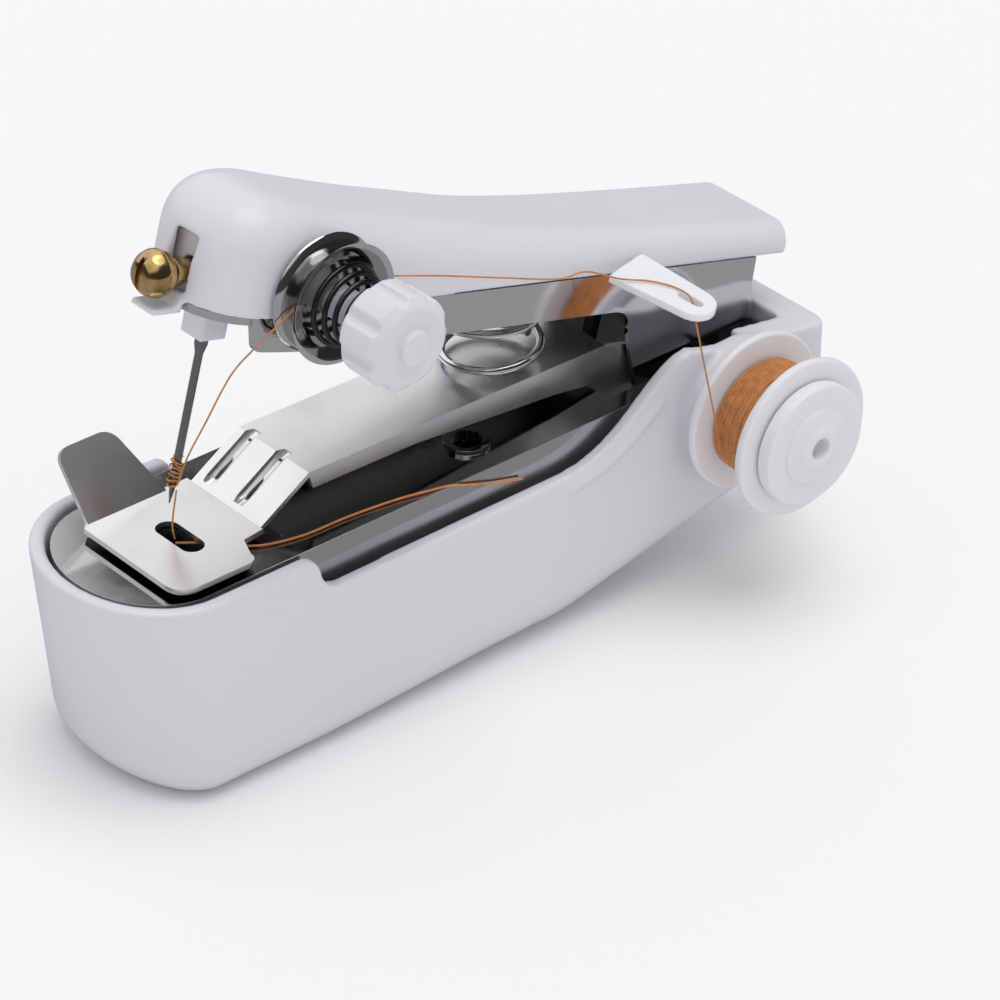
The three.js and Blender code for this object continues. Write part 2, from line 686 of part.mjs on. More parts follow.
// a point on the leaf: along it from its root, across it to the rear, and above its underside
const leafPoint = (along, across, above) => new THREE.Vector3(along, across, above).applyMatrix4(guidePlace);

function threadGuide() {
  const besideCover = box(coverRear - 60, coverRear, -coverWidth / 2 - clearance, 0, 0, 40);
  return cut(guideLeaf().applyMatrix4(guidePlace), besideCover);
}

// ---------------------------------------------------------------- tension
const postRoot = -5.4;
const postTip = -22.2;
const discInnerY = -11.2;
const threadGap = 0.5;
const discOuterY = discInnerY - discSheet - threadGap;
const knobFace = -19.2;
const knobLength = 6.4;

// dished disc: flat in the middle, its rim flared to one side
function tensionDisc(y, flare) {
  const bore = postRadius + holeClearance;
  const t = discSheet / 2;
  const lip = discRadius - 2.2;
  return turned([[bore, y - t], [lip, y - t], [discRadius - 0.6, y - t + flare * 0.9],
    [discRadius, y + flare * 1.3], [discRadius - 0.9, y + t + flare * 1.1], [lip - 0.3, y + t],
    [bore, y + t], [bore, y - t]], tensionX, tensionZ, 40);
}

function tensionSpring() {
  const points = [];
  const turns = 4;
  const count = turns * 12;
  const first = discOuterY - discSheet / 2 - 0.45 - clearance;
  const last = knobFace + 0.45 + clearance;
  for (let i = 0; i <= count; i += 1) {
    const turn = 2 * Math.PI * i / 12;
    const share = i / count;
    const radius = 5 - 1.9 * share;
    points.push(new THREE.Vector3(tensionX + radius * Math.cos(turn), first + (last - first) * share,
      tensionZ + radius * Math.sin(turn)));
  }
  return wire(points, 0.36, count, 6);
}

function tensionKnob() {
  const back = knobFace - knobLength;
  const body = turned([[0, back], [knobRadius - 1.2, back], [knobRadius, back + 1],
    [knobRadius, knobFace - 0.6], [knobRadius - 0.6, knobFace], [0, knobFace]], tensionX, tensionZ, 40);
  let knob = join(body, barY(2.1, back - 0.9, back + 1, tensionX, tensionZ, 20));
  for (let i = 0; i < knobGrooves; i += 1) {
    const turn = 2 * Math.PI * (i + 0.5) / knobGrooves;
    knob = cut(knob, barY(1.1, back - 1, knobFace + 1, tensionX + (knobRadius + 0.45) * Math.cos(turn),
      tensionZ + (knobRadius + 0.45) * Math.sin(turn), 12));
  }
  return cut(knob, barY(postRadius + holeClearance, back + 1.8, knobFace + 1, tensionX, tensionZ));
}

// ---------------------------------------------------------------- spool
function bobbin() {
  const bore = spoolPinRadius + holeClearance;
  return turned([[bore, spoolOuter], [spoolRadius - 0.4, spoolOuter], [spoolRadius, spoolOuter + 0.4],
    [spoolRadius, spoolOuter + spoolFlange - 0.3], [spoolRadius - 0.3, spoolOuter + spoolFlange],
    [hubRadius, spoolOuter + spoolFlange], [hubRadius, spoolInner - spoolFlange],
    [spoolRadius - 0.3, spoolInner - spoolFlange], [spoolRadius, spoolInner - spoolFlange + 0.3],
    [spoolRadius, spoolInner - 0.4], [spoolRadius - 0.4, spoolInner], [bore, spoolInner],
    [bore, spoolOuter]], spoolX, spoolZ, 48);
}

function threadWinding() {
  const low = spoolOuter + spoolFlange + 0.1;
  const high = spoolInner - spoolFlange - 0.1;
  const inner = hubRadius + 0.1;
  return turned([[inner, low], [windingRadius - 0.5, low], [windingRadius, low + 1.6],
    [windingRadius, high - 1.8], [windingRadius - 0.6, high], [inner, high], [inner, low]],
  spoolX, spoolZ, 36);
}

function spoolPin() {
  const head = spoolOuter - clearance;
  const inner = -tubWidth / 2 + tubWall - 0.3;
  return turned([[1.4, head - 3], [2.6, head - 3], [3, head - 2.6], [4.8, head - 2.4], [5, head - 1.9],
    [spoolHeadRadius - 0.4, head - 1.9], [spoolHeadRadius, head - 1.5], [spoolHeadRadius, head],
    [spoolPinRadius, head], [spoolPinRadius, inner - 0.4], [spoolPinRadius - 0.4, inner], [0, inner],
    [0, head - 1.2], [1.4, head - 1.2], [1.4, head - 3]], spoolX, spoolZ, 40);
}

// ---------------------------------------------------------------- thread
function threadSpoolRun() {
  const eye = leafPoint(guideLength - guideEye, 0, 0.2);
  const start = armPoint(eye.x, eye.y, eye.z);
  const reach = windingRadius + 0.35;
  const run = new THREE.Vector2(start.x - spoolX, start.z - spoolZ);
  const swing = run.angle() + Math.acos(reach / run.length());
  const touch = new THREE.Vector3(spoolX + reach * Math.cos(swing), -21, spoolZ + reach * Math.sin(swing));
  return wire([start, start.clone().lerp(touch, 0.5), touch], threadRadius, 10);
}

// in the arm's frame: from between the discs along the cover to the guide
function threadGuideRun() {
  const y = discInnerY - discSheet / 2 - threadGap / 2;
  return wire([
    new THREE.Vector3(tensionX + 3.4, y, tensionZ + 2.6),
    new THREE.Vector3(tensionX + 7.2, y, tensionZ + 2.1),
    new THREE.Vector3(-59, -11.4, 20.1),
    new THREE.Vector3(-48.8, -11, 18.7),
    new THREE.Vector3(-38.3, -10.75, 17.45),
    leafPoint(-1.4, -5.6, guideThick + 0.45),
    leafPoint(2.1, -3.6, guideThick + 0.4),
    leafPoint(4.7, -1.1, guideThick + 0.35),
    leafPoint(7.5, 0.2, guideThick + 0.35),
    leafPoint(9.6, 0.2, guideThick + 0.2),
    leafPoint(guideLength - guideEye, 0, guideThick * 0.5),
  ], threadRadius, 36);
}

// in the arm's frame: from the discs under the head to the needle's eye
function threadNeedleRun() {
  const y = discInnerY - discSheet / 2 - threadGap / 2;
  return wire([
    new THREE.Vector3(tensionX - 3.4, y, tensionZ + 1.6),
    new THREE.Vector3(tensionX - 6.2, y, tensionZ - 1.2),
    new THREE.Vector3(-83.3, -9.4, 13),
    new THREE.Vector3(-83.5, -6.5, 8.4),
    new THREE.Vector3(-83.6, -3.7, 0.6),
    new THREE.Vector3(-83.7, -2.1, -4.2),
    new THREE.Vector3(needleX - 0.1, -0.9, eyeZ + 0.2),
  ], threadRadius, 20);
}

// from the eye through the slot and out under the pad, then loose along the deck
const tailRoute = [[slotX - 0.2, -1.5, deckTop + 0.4], [-35, -4.4, deckTop + 0.4], [-31.7, -7.8, deckTop + 0.3],
  [-26.5, -9.5, deckTop + 0.25], [-19.1, -9.9, deckTop + 0.25], [-12.1, -10.8, deckTop + 0.25],
  [-8.4, -11.7, deckTop + 0.25], [-5.6, -12.3, deckTop + 0.1], [-2.4, -12.6, deckTop - 1],
  [1.6, -12.65, deckTop - 2.3], [5.4, -12.65, deckTop - 3.3]];

function threadEyeRun() {
  const eye = armPoint(needleX - 0.1, -0.9, eyeZ - 0.5);
  return wire([eye, new THREE.Vector3(slotX - 0.5, -1.4, padTop + 1.4),
    new THREE.Vector3(slotX - 0.3, -1.5, deckTop + 1)], threadRadius, 10);
}

function threadTail() {
  return wire(tailRoute.map(([x, y, z]) => new THREE.Vector3(x, y, z)), threadRadius, 40);
}

// ---------------------------------------------------------------- assembly
const arm = new THREE.Group();
arm.position.set(pivotX, 0, pivotZ);
arm.rotation.y = openAngle;
arm.add(
  piece('arm_channel', armChannel(), steel),
  piece('top_cover', topCover(), whitePlastic),
  piece('needle_holder', needleHolder(), whitePlastic),
  piece('needle', needle(), steel),
  piece('needle_clamp_washer', clampCollar(), yellowZinc),
  piece('needle_clamp_screw', clampScrew(), yellowZinc),
  piece('tension_post', barY(postRadius, postTip, postRoot, tensionX, tensionZ), whitePlastic),
  piece('tension_disc_inner', tensionDisc(discInnerY, 1), steel),
  piece('tension_disc_outer', tensionDisc(discOuterY, -1), steel),
  piece('tension_spring', tensionSpring(), blackSteel),
  piece('tension_knob', tensionKnob(), whitePlastic),
  piece('thread_guide', threadGuide(), whitePlastic),
  piece('looper_drive_strip', box(-18.5, -17.3, 0.6, 2.2, -7, armRoof - sheet - clearance), blackSteel),
  piece('thread_guide_run', threadGuideRun(), orangeThread),
  piece('thread_needle_run', threadNeedleRun(), orangeThread),
);

const machine = new THREE.Group();
machine.add(
  piece('base_housing', baseHousing(), whitePlastic),
  piece('lower_frame', lowerFrame(), steel),
  piece('pivot_pin', barY(pivotRadius, -pivotPinLength / 2, pivotPinLength / 2, pivotX, pivotZ), steel),
  piece('looper_pin', barY(looperPinRadius, -looperPinLength / 2, looperPinLength / 2, looperX, looperZ, 16), steel),
  piece('looper', looper(), steel),
  piece('looper_spring', looperSpring(), blackSteel),
  piece('presser_plate', presserPlate(), steel),
  piece('main_spring', mainSpring(), steel),
  piece('bobbin', bobbin(), whitePlastic),
  piece('thread_winding', threadWinding(), orangeThread),
  piece('spool_pin', spoolPin(), whitePlastic),
  piece('thread_spool_run', threadSpoolRun(), orangeThread),
  piece('thread_eye_run', threadEyeRun(), orangeThread),
  piece('thread_tail', threadTail(), orangeThread),
  arm,
);
for (const [x, y, name] of screwPlaces) machine.add(piece(name, frameScrew(x, y), steel));

export default machine;
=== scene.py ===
# Looks of a hand-held manual sewing machine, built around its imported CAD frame. Sizes are
# in millimetres up to the mesh, which is in metres. +X is the rear, +Z up.
import math
import random

import bpy
import bmesh
from mathutils import Matrix, Vector


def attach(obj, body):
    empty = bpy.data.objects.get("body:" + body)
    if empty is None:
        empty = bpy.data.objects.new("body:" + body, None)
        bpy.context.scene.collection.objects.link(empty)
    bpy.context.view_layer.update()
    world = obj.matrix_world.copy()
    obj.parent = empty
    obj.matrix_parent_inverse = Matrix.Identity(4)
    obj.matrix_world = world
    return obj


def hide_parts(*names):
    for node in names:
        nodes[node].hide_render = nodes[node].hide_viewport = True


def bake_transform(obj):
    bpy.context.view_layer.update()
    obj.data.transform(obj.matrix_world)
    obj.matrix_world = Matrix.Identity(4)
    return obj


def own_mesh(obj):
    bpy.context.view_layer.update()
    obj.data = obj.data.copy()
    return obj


MM = 0.001

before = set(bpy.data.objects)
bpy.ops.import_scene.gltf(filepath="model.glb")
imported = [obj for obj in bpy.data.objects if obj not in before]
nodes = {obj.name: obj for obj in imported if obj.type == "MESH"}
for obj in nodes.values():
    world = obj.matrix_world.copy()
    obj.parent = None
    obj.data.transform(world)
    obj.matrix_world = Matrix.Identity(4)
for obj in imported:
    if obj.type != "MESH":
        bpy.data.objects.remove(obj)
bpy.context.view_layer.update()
scene = bpy.context.scene

# ------------------------------------------------------------------ camera
CAMERA_PLACE = (-317.23, -376.66, 335.48)
CAMERA_YAW = 0.85111
CAMERA_PITCH = 0.57408
CAMERA_ROLL = 0.012146
CAMERA_LENS = 172.8


def add_camera():
    data = bpy.data.cameras.new("camera")
    data.lens = CAMERA_LENS
    data.sensor_width = 36
    data.clip_start, data.clip_end = 0.01, 20
    camera = bpy.data.objects.new("camera", data)
    scene.collection.objects.link(camera)
    ahead = Vector((math.cos(CAMERA_PITCH) * math.cos(CAMERA_YAW),
                    math.cos(CAMERA_PITCH) * math.sin(CAMERA_YAW), -math.sin(CAMERA_PITCH)))
    level = ahead.cross(Vector((0, 0, 1))).normalized()
    upright = level.cross(ahead)
    right = math.cos(CAMERA_ROLL) * level + math.sin(CAMERA_ROLL) * upright
    up = -math.sin(CAMERA_ROLL) * level + math.cos(CAMERA_ROLL) * upright
    turn = Matrix((right, up, -ahead)).transposed().to_4x4()
    camera.matrix_world = Matrix.Translation(Vector(CAMERA_PLACE) * MM) @ turn
    scene.camera = camera


add_camera()


# ------------------------------------------------------------------ materials
def new_material(name, colour, metallic=0.0, roughness=0.4):
    made = bpy.data.materials.new(name)
    made.use_nodes = True
    shader = made.node_tree.nodes["Principled BSDF"]
    shader.inputs["Base Color"].default_value = (*colour, 1)
    shader.inputs["Metallic"].default_value = metallic
    shader.inputs["Roughness"].default_value = roughness
    return made, made.node_tree, shader


def add_noise(tree, scale, detail=4, stretch=(1, 1, 1)):
    place = tree.nodes.new("ShaderNodeTexCoord")
    mapping = tree.nodes.new("ShaderNodeMapping")
    mapping.inputs["Scale"].default_value = stretch
    noise = tree.nodes.new("ShaderNodeTexNoise")
    noise.inputs["Scale"].default_value = scale
    noise.inputs["Detail"].default_value = detail
    tree.links.new(place.outputs["Object"], mapping.inputs["Vector"])
    tree.links.new(mapping.outputs["Vector"], noise.inputs["Vector"])
    return noise


def ramp_of(tree, source, stops):
    ramp = tree.nodes.new("ShaderNodeValToRGB")
    marks = ramp.color_ramp.elements
    while len(marks) < len(stops):
        marks.new(0.5)
    for mark, (place, colour) in zip(marks, stops):
        mark.position = place
        mark.color = (*colour, 1)
    tree.links.new(source, ramp.inputs["Fac"])
    return ramp.outputs["Color"]


def roughness_from(tree, shader, noise, low, high):
    spread = tree.nodes.new("ShaderNodeMapRange")
    spread.inputs["From Min"].default_value = 0.35
    spread.inputs["From Max"].default_value = 0.65
    spread.inputs["To Min"].default_value = low
    spread.inputs["To Max"].default_value = high
    tree.links.new(noise.outputs["Fac"], spread.inputs["Value"])
    tree.links.new(spread.outputs["Result"], shader.inputs["Roughness"])


def add_bump(tree, shader, height, strength, distance, under=None):
    bump = tree.nodes.new("ShaderNodeBump")
    bump.inputs["Strength"].default_value = strength
    bump.inputs["Distance"].default_value = distance
    tree.links.new(height, bump.inputs["Height"])
    if under is not None:
        tree.links.new(under.outputs["Normal"], bump.inputs["Normal"])
    tree.links.new(bump.outputs["Normal"], shader.inputs["Normal"])
    return bump


def plastic(name, colour, roughness, see_through=0.0):
    """Moulded plastic with a faint change of tone and gloss and a fine skin."""
    made, tree, shader = new_material(name, colour, roughness=roughness)
    shader.inputs["IOR"].default_value = 1.5
    shader.inputs["Subsurface Weight"].default_value = see_through
    shader.inputs["Subsurface Radius"].default_value = (0.0012, 0.0011, 0.001)
    shader.inputs["Subsurface Scale"].default_value = 1.0
    tone = add_noise(tree, 60, 3)
    pale = [min(1, c * 1.006) for c in colour]
    dull = [c * 0.988 for c in colour]
    tree.links.new(ramp_of(tree, tone.outputs["Fac"], [(0.3, dull), (0.7, pale)]),
                   shader.inputs["Base Color"])
    rub = add_noise(tree, 220, 5)
    roughness_from(tree, shader, rub, roughness - 0.02, roughness + 0.04)
    skin = add_noise(tree, 1600, 2)
    add_bump(tree, shader, skin.outputs["Fac"], 0.08, 0.00002)
    return made


def plated_steel(name, colour, low, high, wave, underside=None):
    """Bright steel, its roughness from low to high and its waviness wave. Underside is the
    colour of painted shade given to the faces that look down."""
    made, tree, shader = new_material(name, colour, metallic=1.0)
    haze = add_noise(tree, 130, 6)
    roughness_from(tree, shader, haze, low, high)
    film = add_noise(tree, 45, 3)
    warm = [c * k for c, k in zip(colour, (1.0, 0.985, 0.96))]
    surface = ramp_of(tree, film.outputs["Fac"], [(0.35, colour), (0.7, warm)])
    # faces that look down take the underside colour: painted shade under the sheet
    if underside:
        geometry = tree.nodes.new("ShaderNodeNewGeometry")
        facing = tree.nodes.new("ShaderNodeSeparateXYZ")
        tree.links.new(geometry.outputs["Normal"], facing.inputs["Vector"])
        looks_down = tree.nodes.new("ShaderNodeMath")
        looks_down.operation = "LESS_THAN"
        looks_down.inputs[1].default_value = -0.5
        tree.links.new(facing.outputs["Z"], looks_down.inputs[0])
        painted_shade_below = tree.nodes.new("ShaderNodeMixRGB")
        painted_shade_below.inputs["Color2"].default_value = (*underside, 1)
        tree.links.new(looks_down.outputs["Value"], painted_shade_below.inputs["Fac"])
        tree.links.new(surface, painted_shade_below.inputs["Color1"])
        surface = painted_shade_below.outputs["Color"]
    tree.links.new(surface, shader.inputs["Base Color"])
    sag = add_noise(tree, 70, 1)
    rolled = add_noise(tree, 900, 4, (1, 7, 7))
    low_bump = add_bump(tree, shader, sag.outputs["Fac"], wave, 0.0004)
    add_bump(tree, shader, rolled.outputs["Fac"], 0.05, 0.00003, low_bump)
    return made


def yarn(name, colour):
    """Twisted thread: painted shade in the twist's grooves and painted highlight on its crests, with
    some random fibre tone, wind along the map that tube() makes.
    """
    dark = [c * 0.62 for c in colour]
    light = [min(1, c * 1.35 + 0.02) for c in colour]
    made, tree, shader = new_material(name, colour, roughness=0.7)
    shader.inputs["Sheen Weight"].default_value = 0.15
    shader.inputs["Sheen Roughness"].default_value = 0.4
    place = tree.nodes.new("ShaderNodeUVMap")
    place.uv_map = "along"
    wave = tree.nodes.new("ShaderNodeTexWave")
    wave.wave_type = "BANDS"
    wave.bands_direction = "DIAGONAL"
    wave.inputs["Scale"].default_value = 1.0
    wave.inputs["Distortion"].default_value = 0.6
    wave.inputs["Detail"].default_value = 1
    tree.links.new(place.outputs["UV"], wave.inputs["Vector"])
    fuzz = add_noise(tree, 900, 3)
    mixed = tree.nodes.new("ShaderNodeMath")
    mixed.operation = "MULTIPLY_ADD"
    mixed.inputs[1].default_value = 0.55
    tree.links.new(wave.outputs["Fac"], mixed.inputs[0])
    tree.links.new(fuzz.outputs["Fac"], mixed.inputs[2])
    # dark in the twist's grooves and light on its crests: painted shade and painted highlight, plus
    # random fibre tone from the fuzz
    twist_painted_shading = ramp_of(tree, mixed.outputs["Value"], [(0.3, dark), (0.62, colour), (1.0, light)])
    tree.links.new(twist_painted_shading, shader.inputs["Base Color"])
    add_bump(tree, shader, wave.outputs["Fac"], 0.6, 0.00006)
    return made


WHITE = plastic("white_abs", (0.75, 0.75, 0.795), 0.3)
SPOOL_WHITE = plastic("spool_white", (0.82, 0.82, 0.84), 0.32, see_through=0.15)
LEAF_WHITE = plastic("leaf_white", (0.86, 0.86, 0.88), 0.25, see_through=0.35)
CHROME = plated_steel("chrome_sheet", (0.66, 0.665, 0.675), 0.05, 0.1, 0.01)
DECK_CHROME = plated_steel("deck_chrome", (0.5, 0.5, 0.505), 0.06, 0.12, 0.01)
# the presser plate's faces that look down are painted near black: painted shade under it
SATIN = plated_steel("satin_chrome", (0.86, 0.865, 0.87), 0.26, 0.34, 0.01, (0.12, 0.12, 0.12))
# darker copy of the chrome for the tension discs' faces: painted shade against their brighter rims
SHADED_DISC_CHROME = plated_steel("shaded_disc_chrome", (0.4, 0.4, 0.41), 0.06, 0.12, 0.01)
SPRING_WIRE = plated_steel("bright_wire", (0.72, 0.73, 0.74), 0.08, 0.18, 0.02)
STEEL = plated_steel("polished_steel", (0.26, 0.255, 0.25), 0.14, 0.3, 0.02)
BLACK_STEEL = plated_steel("black_spring_steel", (0.07, 0.07, 0.075), 0.2, 0.4, 0.02)
THREAD = yarn("orange_thread", (0.53, 0.21, 0.06))


def zinc_material():
    """Yellow zinc plating, with patches from brown to green."""
    made, tree, shader = new_material("yellow_zinc", (0.7, 0.5, 0.2), metallic=1.0)
    film = add_noise(tree, 260, 2)
    stops = [(0.3, (0.30, 0.20, 0.07)), (0.45, (0.68, 0.48, 0.20)), (0.55, (0.50, 0.30, 0.17)),
             (0.68, (0.44, 0.45, 0.20))]
    tree.links.new(ramp_of(tree, film.outputs["Fac"], stops), shader.inputs["Base Color"])
    rub = add_noise(tree, 500, 4)
    roughness_from(tree, shader, rub, 0.1, 0.3)
    return made


ZINC = zinc_material()


# ------------------------------------------------------------------ mesh helpers
def new_piece(name, points, faces, material, body, smooth=35):
    """A mesh from points in millimetres, riding on a body."""
    mesh = bpy.data.meshes.new(name)
    mesh.from_pydata([Vector(p) * MM for p in points], [], faces)
    mesh.validate()
    made = bpy.data.objects.new(name, mesh)
    scene.collection.objects.link(made)
    mesh.materials.append(material)
    set_smooth(made, smooth)
    if body:
        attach(made, body)
    return made


def set_smooth(obj, angle):
    obj.data.shade_smooth()
    if angle < 180:
        obj.data.set_sharp_from_angle(angle=math.radians(angle))


def settle(obj):
    """Applies every modifier of a piece to its mesh."""
    bpy.context.view_layer.update()
    graph = bpy.context.evaluated_depsgraph_get()
    final = bpy.data.meshes.new_from_object(obj.evaluated_get(graph))
    old = obj.data
    obj.modifiers.clear()
    obj.data = final
    bpy.data.meshes.remove(old)
    return obj


def boolean(obj, tool, operation="DIFFERENCE"):
    step = obj.modifiers.new("boolean", "BOOLEAN")
    step.object = tool
    step.operation = operation
    step.solver = "EXACT"
    settle(obj)
    bpy.data.objects.remove(tool)
    return obj


def soften(obj, voxel, rounds):
    """Rebuilds a solid with evenly rounded edges, as moulded plastic has."""
    remesh = obj.modifiers.new("remesh", "REMESH")
    remesh.mode = "VOXEL"
    remesh.voxel_size = voxel * MM
    blur = obj.modifiers.new("blur", "SMOOTH")
    blur.factor = 0.5
    blur.iterations = rounds
    settle(obj)
    set_smooth(obj, 180)
    return obj


def cad_copy(node, name, material, body):
    """A new piece with the welded mesh of a CAD node, which it replaces."""
    made = bpy.data.objects.new(name, nodes[node].data.copy())
    scene.collection.objects.link(made)
    welded = bmesh.new()
    welded.from_mesh(made.data)
    bmesh.ops.remove_doubles(welded, verts=welded.verts, dist=0.002 * MM)
    bmesh.ops.dissolve_limit(welded, angle_limit=math.radians(0.6), verts=welded.verts,
                             edges=welded.edges)
    welded.to_mesh(made.data)
    welded.free()
    made.data.materials.clear()
    made.data.materials.append(material)
    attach(made, body)
    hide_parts(node)
    return made


def bevelled(obj, width, fold=0.0, folds=None):
    """Rounds a sheet's sharp edges by width, and the folds that folds(a, b) picks by fold."""
    work = bmesh.new()
    work.from_mesh(obj.data)
    weight = work.edges.layers.float.new("bevel_weight_edge")
    widest = max(width, fold)
    for edge in work.edges:
        if len(edge.link_faces) == 2 and edge.calc_face_angle(0) > math.radians(28):
            a, b = (v.co / MM for v in edge.verts)
            edge[weight] = (fold if folds and folds(a, b) else width) / widest
    work.to_mesh(obj.data)
    work.free()
    step = obj.modifiers.new("bevel", "BEVEL")
    step.limit_method = "WEIGHT"
    step.width = widest * MM
    step.segments = 3
    step.use_clamp_overlap = True
    step.harden_normals = False
    settle(obj)
    set_smooth(obj, 32)
    flats = obj.modifiers.new("flats", "WEIGHTED_NORMAL")
    flats.keep_sharp = True
    flats.weight = 80
    settle(obj)
    return obj


BOX_FACES = [(0, 1, 3, 2), (4, 6, 7, 5), (0, 4, 5, 1), (2, 3, 7, 6), (0, 2, 6, 4), (1, 5, 7, 3)]


def box_tool(x0, x1, y0, y1, z0, z1, place=Vector):
    """A box to cut or join with, its corners (x, y, z) put where place() says."""
    corners = [place((x, y, z)) for x in (x0, x1) for y in (y0, y1) for z in (z0, z1)]
    return new_piece("tool", corners, BOX_FACES, WHITE, None)


def side_tool(outline, y0, y1):
    """A closed outline in X and Z, given a width."""
    count = len(outline)
    points = [(x, y, z) for y in (y0, y1) for x, z in outline]
    faces = [tuple(range(count)), tuple(range(2 * count - 1, count - 1, -1))]
    faces += [(i, i + count, (i + 1) % count + count, (i + 1) % count) for i in range(count)]
    made = new_piece("tool", points, faces, WHITE, None)
    outward(made)
    return made


def outward(obj):
    work = bmesh.new()
    work.from_mesh(obj.data)
    bmesh.ops.recalc_face_normals(work, faces=work.faces)
    work.to_mesh(obj.data)
    work.free()


def skin(rings):
    """Points and faces of a closed skin over rings of equal length, its ends closed."""
    count = len(rings[0])
    points = [p for ring in rings for p in ring]
    faces = [(r * count + i, r * count + (i + 1) % count, (r + 1) * count + (i + 1) % count,
              (r + 1) * count + i) for r in range(len(rings) - 1) for i in range(count)]
    last = (len(rings) - 1) * count
    faces.append(tuple(range(count - 1, -1, -1)))
    faces.append(tuple(range(last, last + count)))
    return points, faces


def rounded(profile, radius, steps=4):
    """The same outline with each inner corner turned into a small arc."""
    made = [Vector(profile[0])]
    for before, corner, after in zip(profile, profile[1:], profile[2:]):
        before, corner, after = Vector(before), Vector(corner), Vector(after)
        back, on = before - corner, after - corner
        cutback = min(radius, back.length * 0.45, on.length * 0.45)
        start, end = corner + back.normalized() * cutback, corner + on.normalized() * cutback
        for i in range(steps + 1):
            t = i / steps
            made.append((1 - t) ** 2 * start + 2 * t * (1 - t) * corner + t * t * end)
    made.append(Vector(profile[-1]))
    return made


def lathe(name, profile, centre, axis, material, body, segments=96, smooth=40):
    """A body turned about a line through centre: profile points are (radius, place along)."""
    axis = Vector(axis).normalized()
    side = axis.cross(Vector((0.3, 0.2, 1))).normalized()
    other = axis.cross(side)
    points, rows = [], []
    for radius, along in profile:
        row = []
        if radius < 1e-6:
            row = [len(points)] * segments
            points.append(Vector(centre) + axis * along)
        else:
            for i in range(segments):
                turn = 2 * math.pi * i / segments
                row.append(len(points))
                points.append(Vector(centre) + axis * along
                              + radius * (math.cos(turn) * side + math.sin(turn) * other))
        rows.append(row)
    faces = []
    closed = (Vector(profile[0]) - Vector(profile[-1])).length < 1e-6
    if closed:
        rows[-1] = rows[0]
    for a, b in zip(rows, rows[1:]):
        for i in range(segments):
            k = (i + 1) % segments
            corners = []
            for corner in (a[i], a[k], b[k], b[i]):
                if corner not in corners:
                    corners.append(corner)
            if len(corners) > 2:
                faces.append(tuple(corners))
    made = new_piece(name, points, faces, material, body, smooth)
    loose = bmesh.new()
    loose.from_mesh(made.data)
    bmesh.ops.delete(loose, geom=[v for v in loose.verts if not v.link_faces], context="VERTS")
    bmesh.ops.recalc_face_normals(loose, faces=loose.faces)
    loose.to_mesh(made.data)
    loose.free()
    return made


def smooth_path(points, steps):
    """Points along a centripetal Catmull-Rom curve through the given ones."""
    points = [Vector(p) for p in points]
    ends = [2 * points[0] - points[1], *points, 2 * points[-1] - points[-2]]
    made = []
    for a, b, c, d in zip(ends, ends[1:], ends[2:], ends[3:]):
        t1 = (b - a).length ** 0.5
        t2 = t1 + (c - b).length ** 0.5
        t3 = t2 + (d - c).length ** 0.5
        for i in range(steps):
            t = t1 + (t2 - t1) * i / steps
            p1 = a + (b - a) * (t / t1)
            p2 = b + (c - b) * ((t - t1) / (t2 - t1))
            p3 = c + (d - c) * ((t - t2) / (t3 - t2))
            q1 = p1 + (p2 - p1) * (t / t2)
            q2 = p2 + (p3 - p2) * ((t - t1) / (t3 - t1))
            made.append(q1 + (q2 - q1) * ((t - t1) / (t2 - t1)))
    made.append(points[-1])
    return made


def tube(name, path, radius, material, body, sides=12, twist=1.6):
    """A round tube along a path, closed at its ends, with a map along it for twisted yarn."""
    normal = (path[1] - path[0]).cross(Vector((0.31, 0.17, 1))).normalized()
    points, run, places = [], 0.0, []
    for i, here in enumerate(path):
        ahead = (path[min(i + 1, len(path) - 1)] - path[max(i - 1, 0)]).normalized()
        normal = (normal - ahead * normal.dot(ahead)).normalized()
        other = ahead.cross(normal)
        if i:
            run += (here - path[i - 1]).length
        places.append(run)
        for k in range(sides):
            turn = 2 * math.pi * k / sides
            points.append(here + radius * (math.cos(turn) * normal + math.sin(turn) * other))
    rings = [points[i * sides:(i + 1) * sides] for i in range(len(path))]
    points, faces = skin(rings)
    made = new_piece(name, points, faces, material, body, 50)
    chart = made.data.uv_layers.new(name="along")
    for face in made.data.polygons:
        wraps = [made.data.loops[i].vertex_index % sides for i in face.loop_indices]
        seam = len(face.vertices) == 4 and 0 in wraps and sides - 1 in wraps
        for loop, wrap in zip(face.loop_indices, wraps):
            ring = made.data.loops[loop].vertex_index // sides
            around = (wrap + (sides if seam and wrap == 0 else 0)) / sides
            chart.data[loop].uv = (around * twist, places[ring] * twist)
    return made


# ------------------------------------------------------------------ thread tail, a free cord
THREAD_RADIUS = 0.15
RUN_RADIUS = 0.11
DECK_TOP = 27.3
SLOT_X = -38.3
TAIL_ROUTE = [
    (SLOT_X - 0.2, -1.5, DECK_TOP + 0.4), (-35, -4.4, DECK_TOP + 0.4), (-31.7, -7.8, DECK_TOP + 0.3),
    (-26.5, -9.5, DECK_TOP + 0.25), (-19.1, -9.9, DECK_TOP + 0.25), (-12.1, -10.8, DECK_TOP + 0.25),
    (-8.4, -11.7, DECK_TOP + 0.25), (-5.6, -12.3, DECK_TOP + 0.1), (-2.4, -12.6, DECK_TOP - 1),
    (1.6, -12.65, DECK_TOP - 2.3), (5.4, -12.65, DECK_TOP - 3.3)]


def thread_tail():
    path = smooth_path(TAIL_ROUTE, 8)
    made = tube("thread_tail_yarn", path, THREAD_RADIUS, THREAD, "base")
    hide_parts("thread_tail")


thread_tail()

# ------------------------------------------------------------------ sizes shared with the frame
PIVOT_X, PIVOT_Z = 45.1, 21.5
OPEN_ANGLE = math.radians(15)


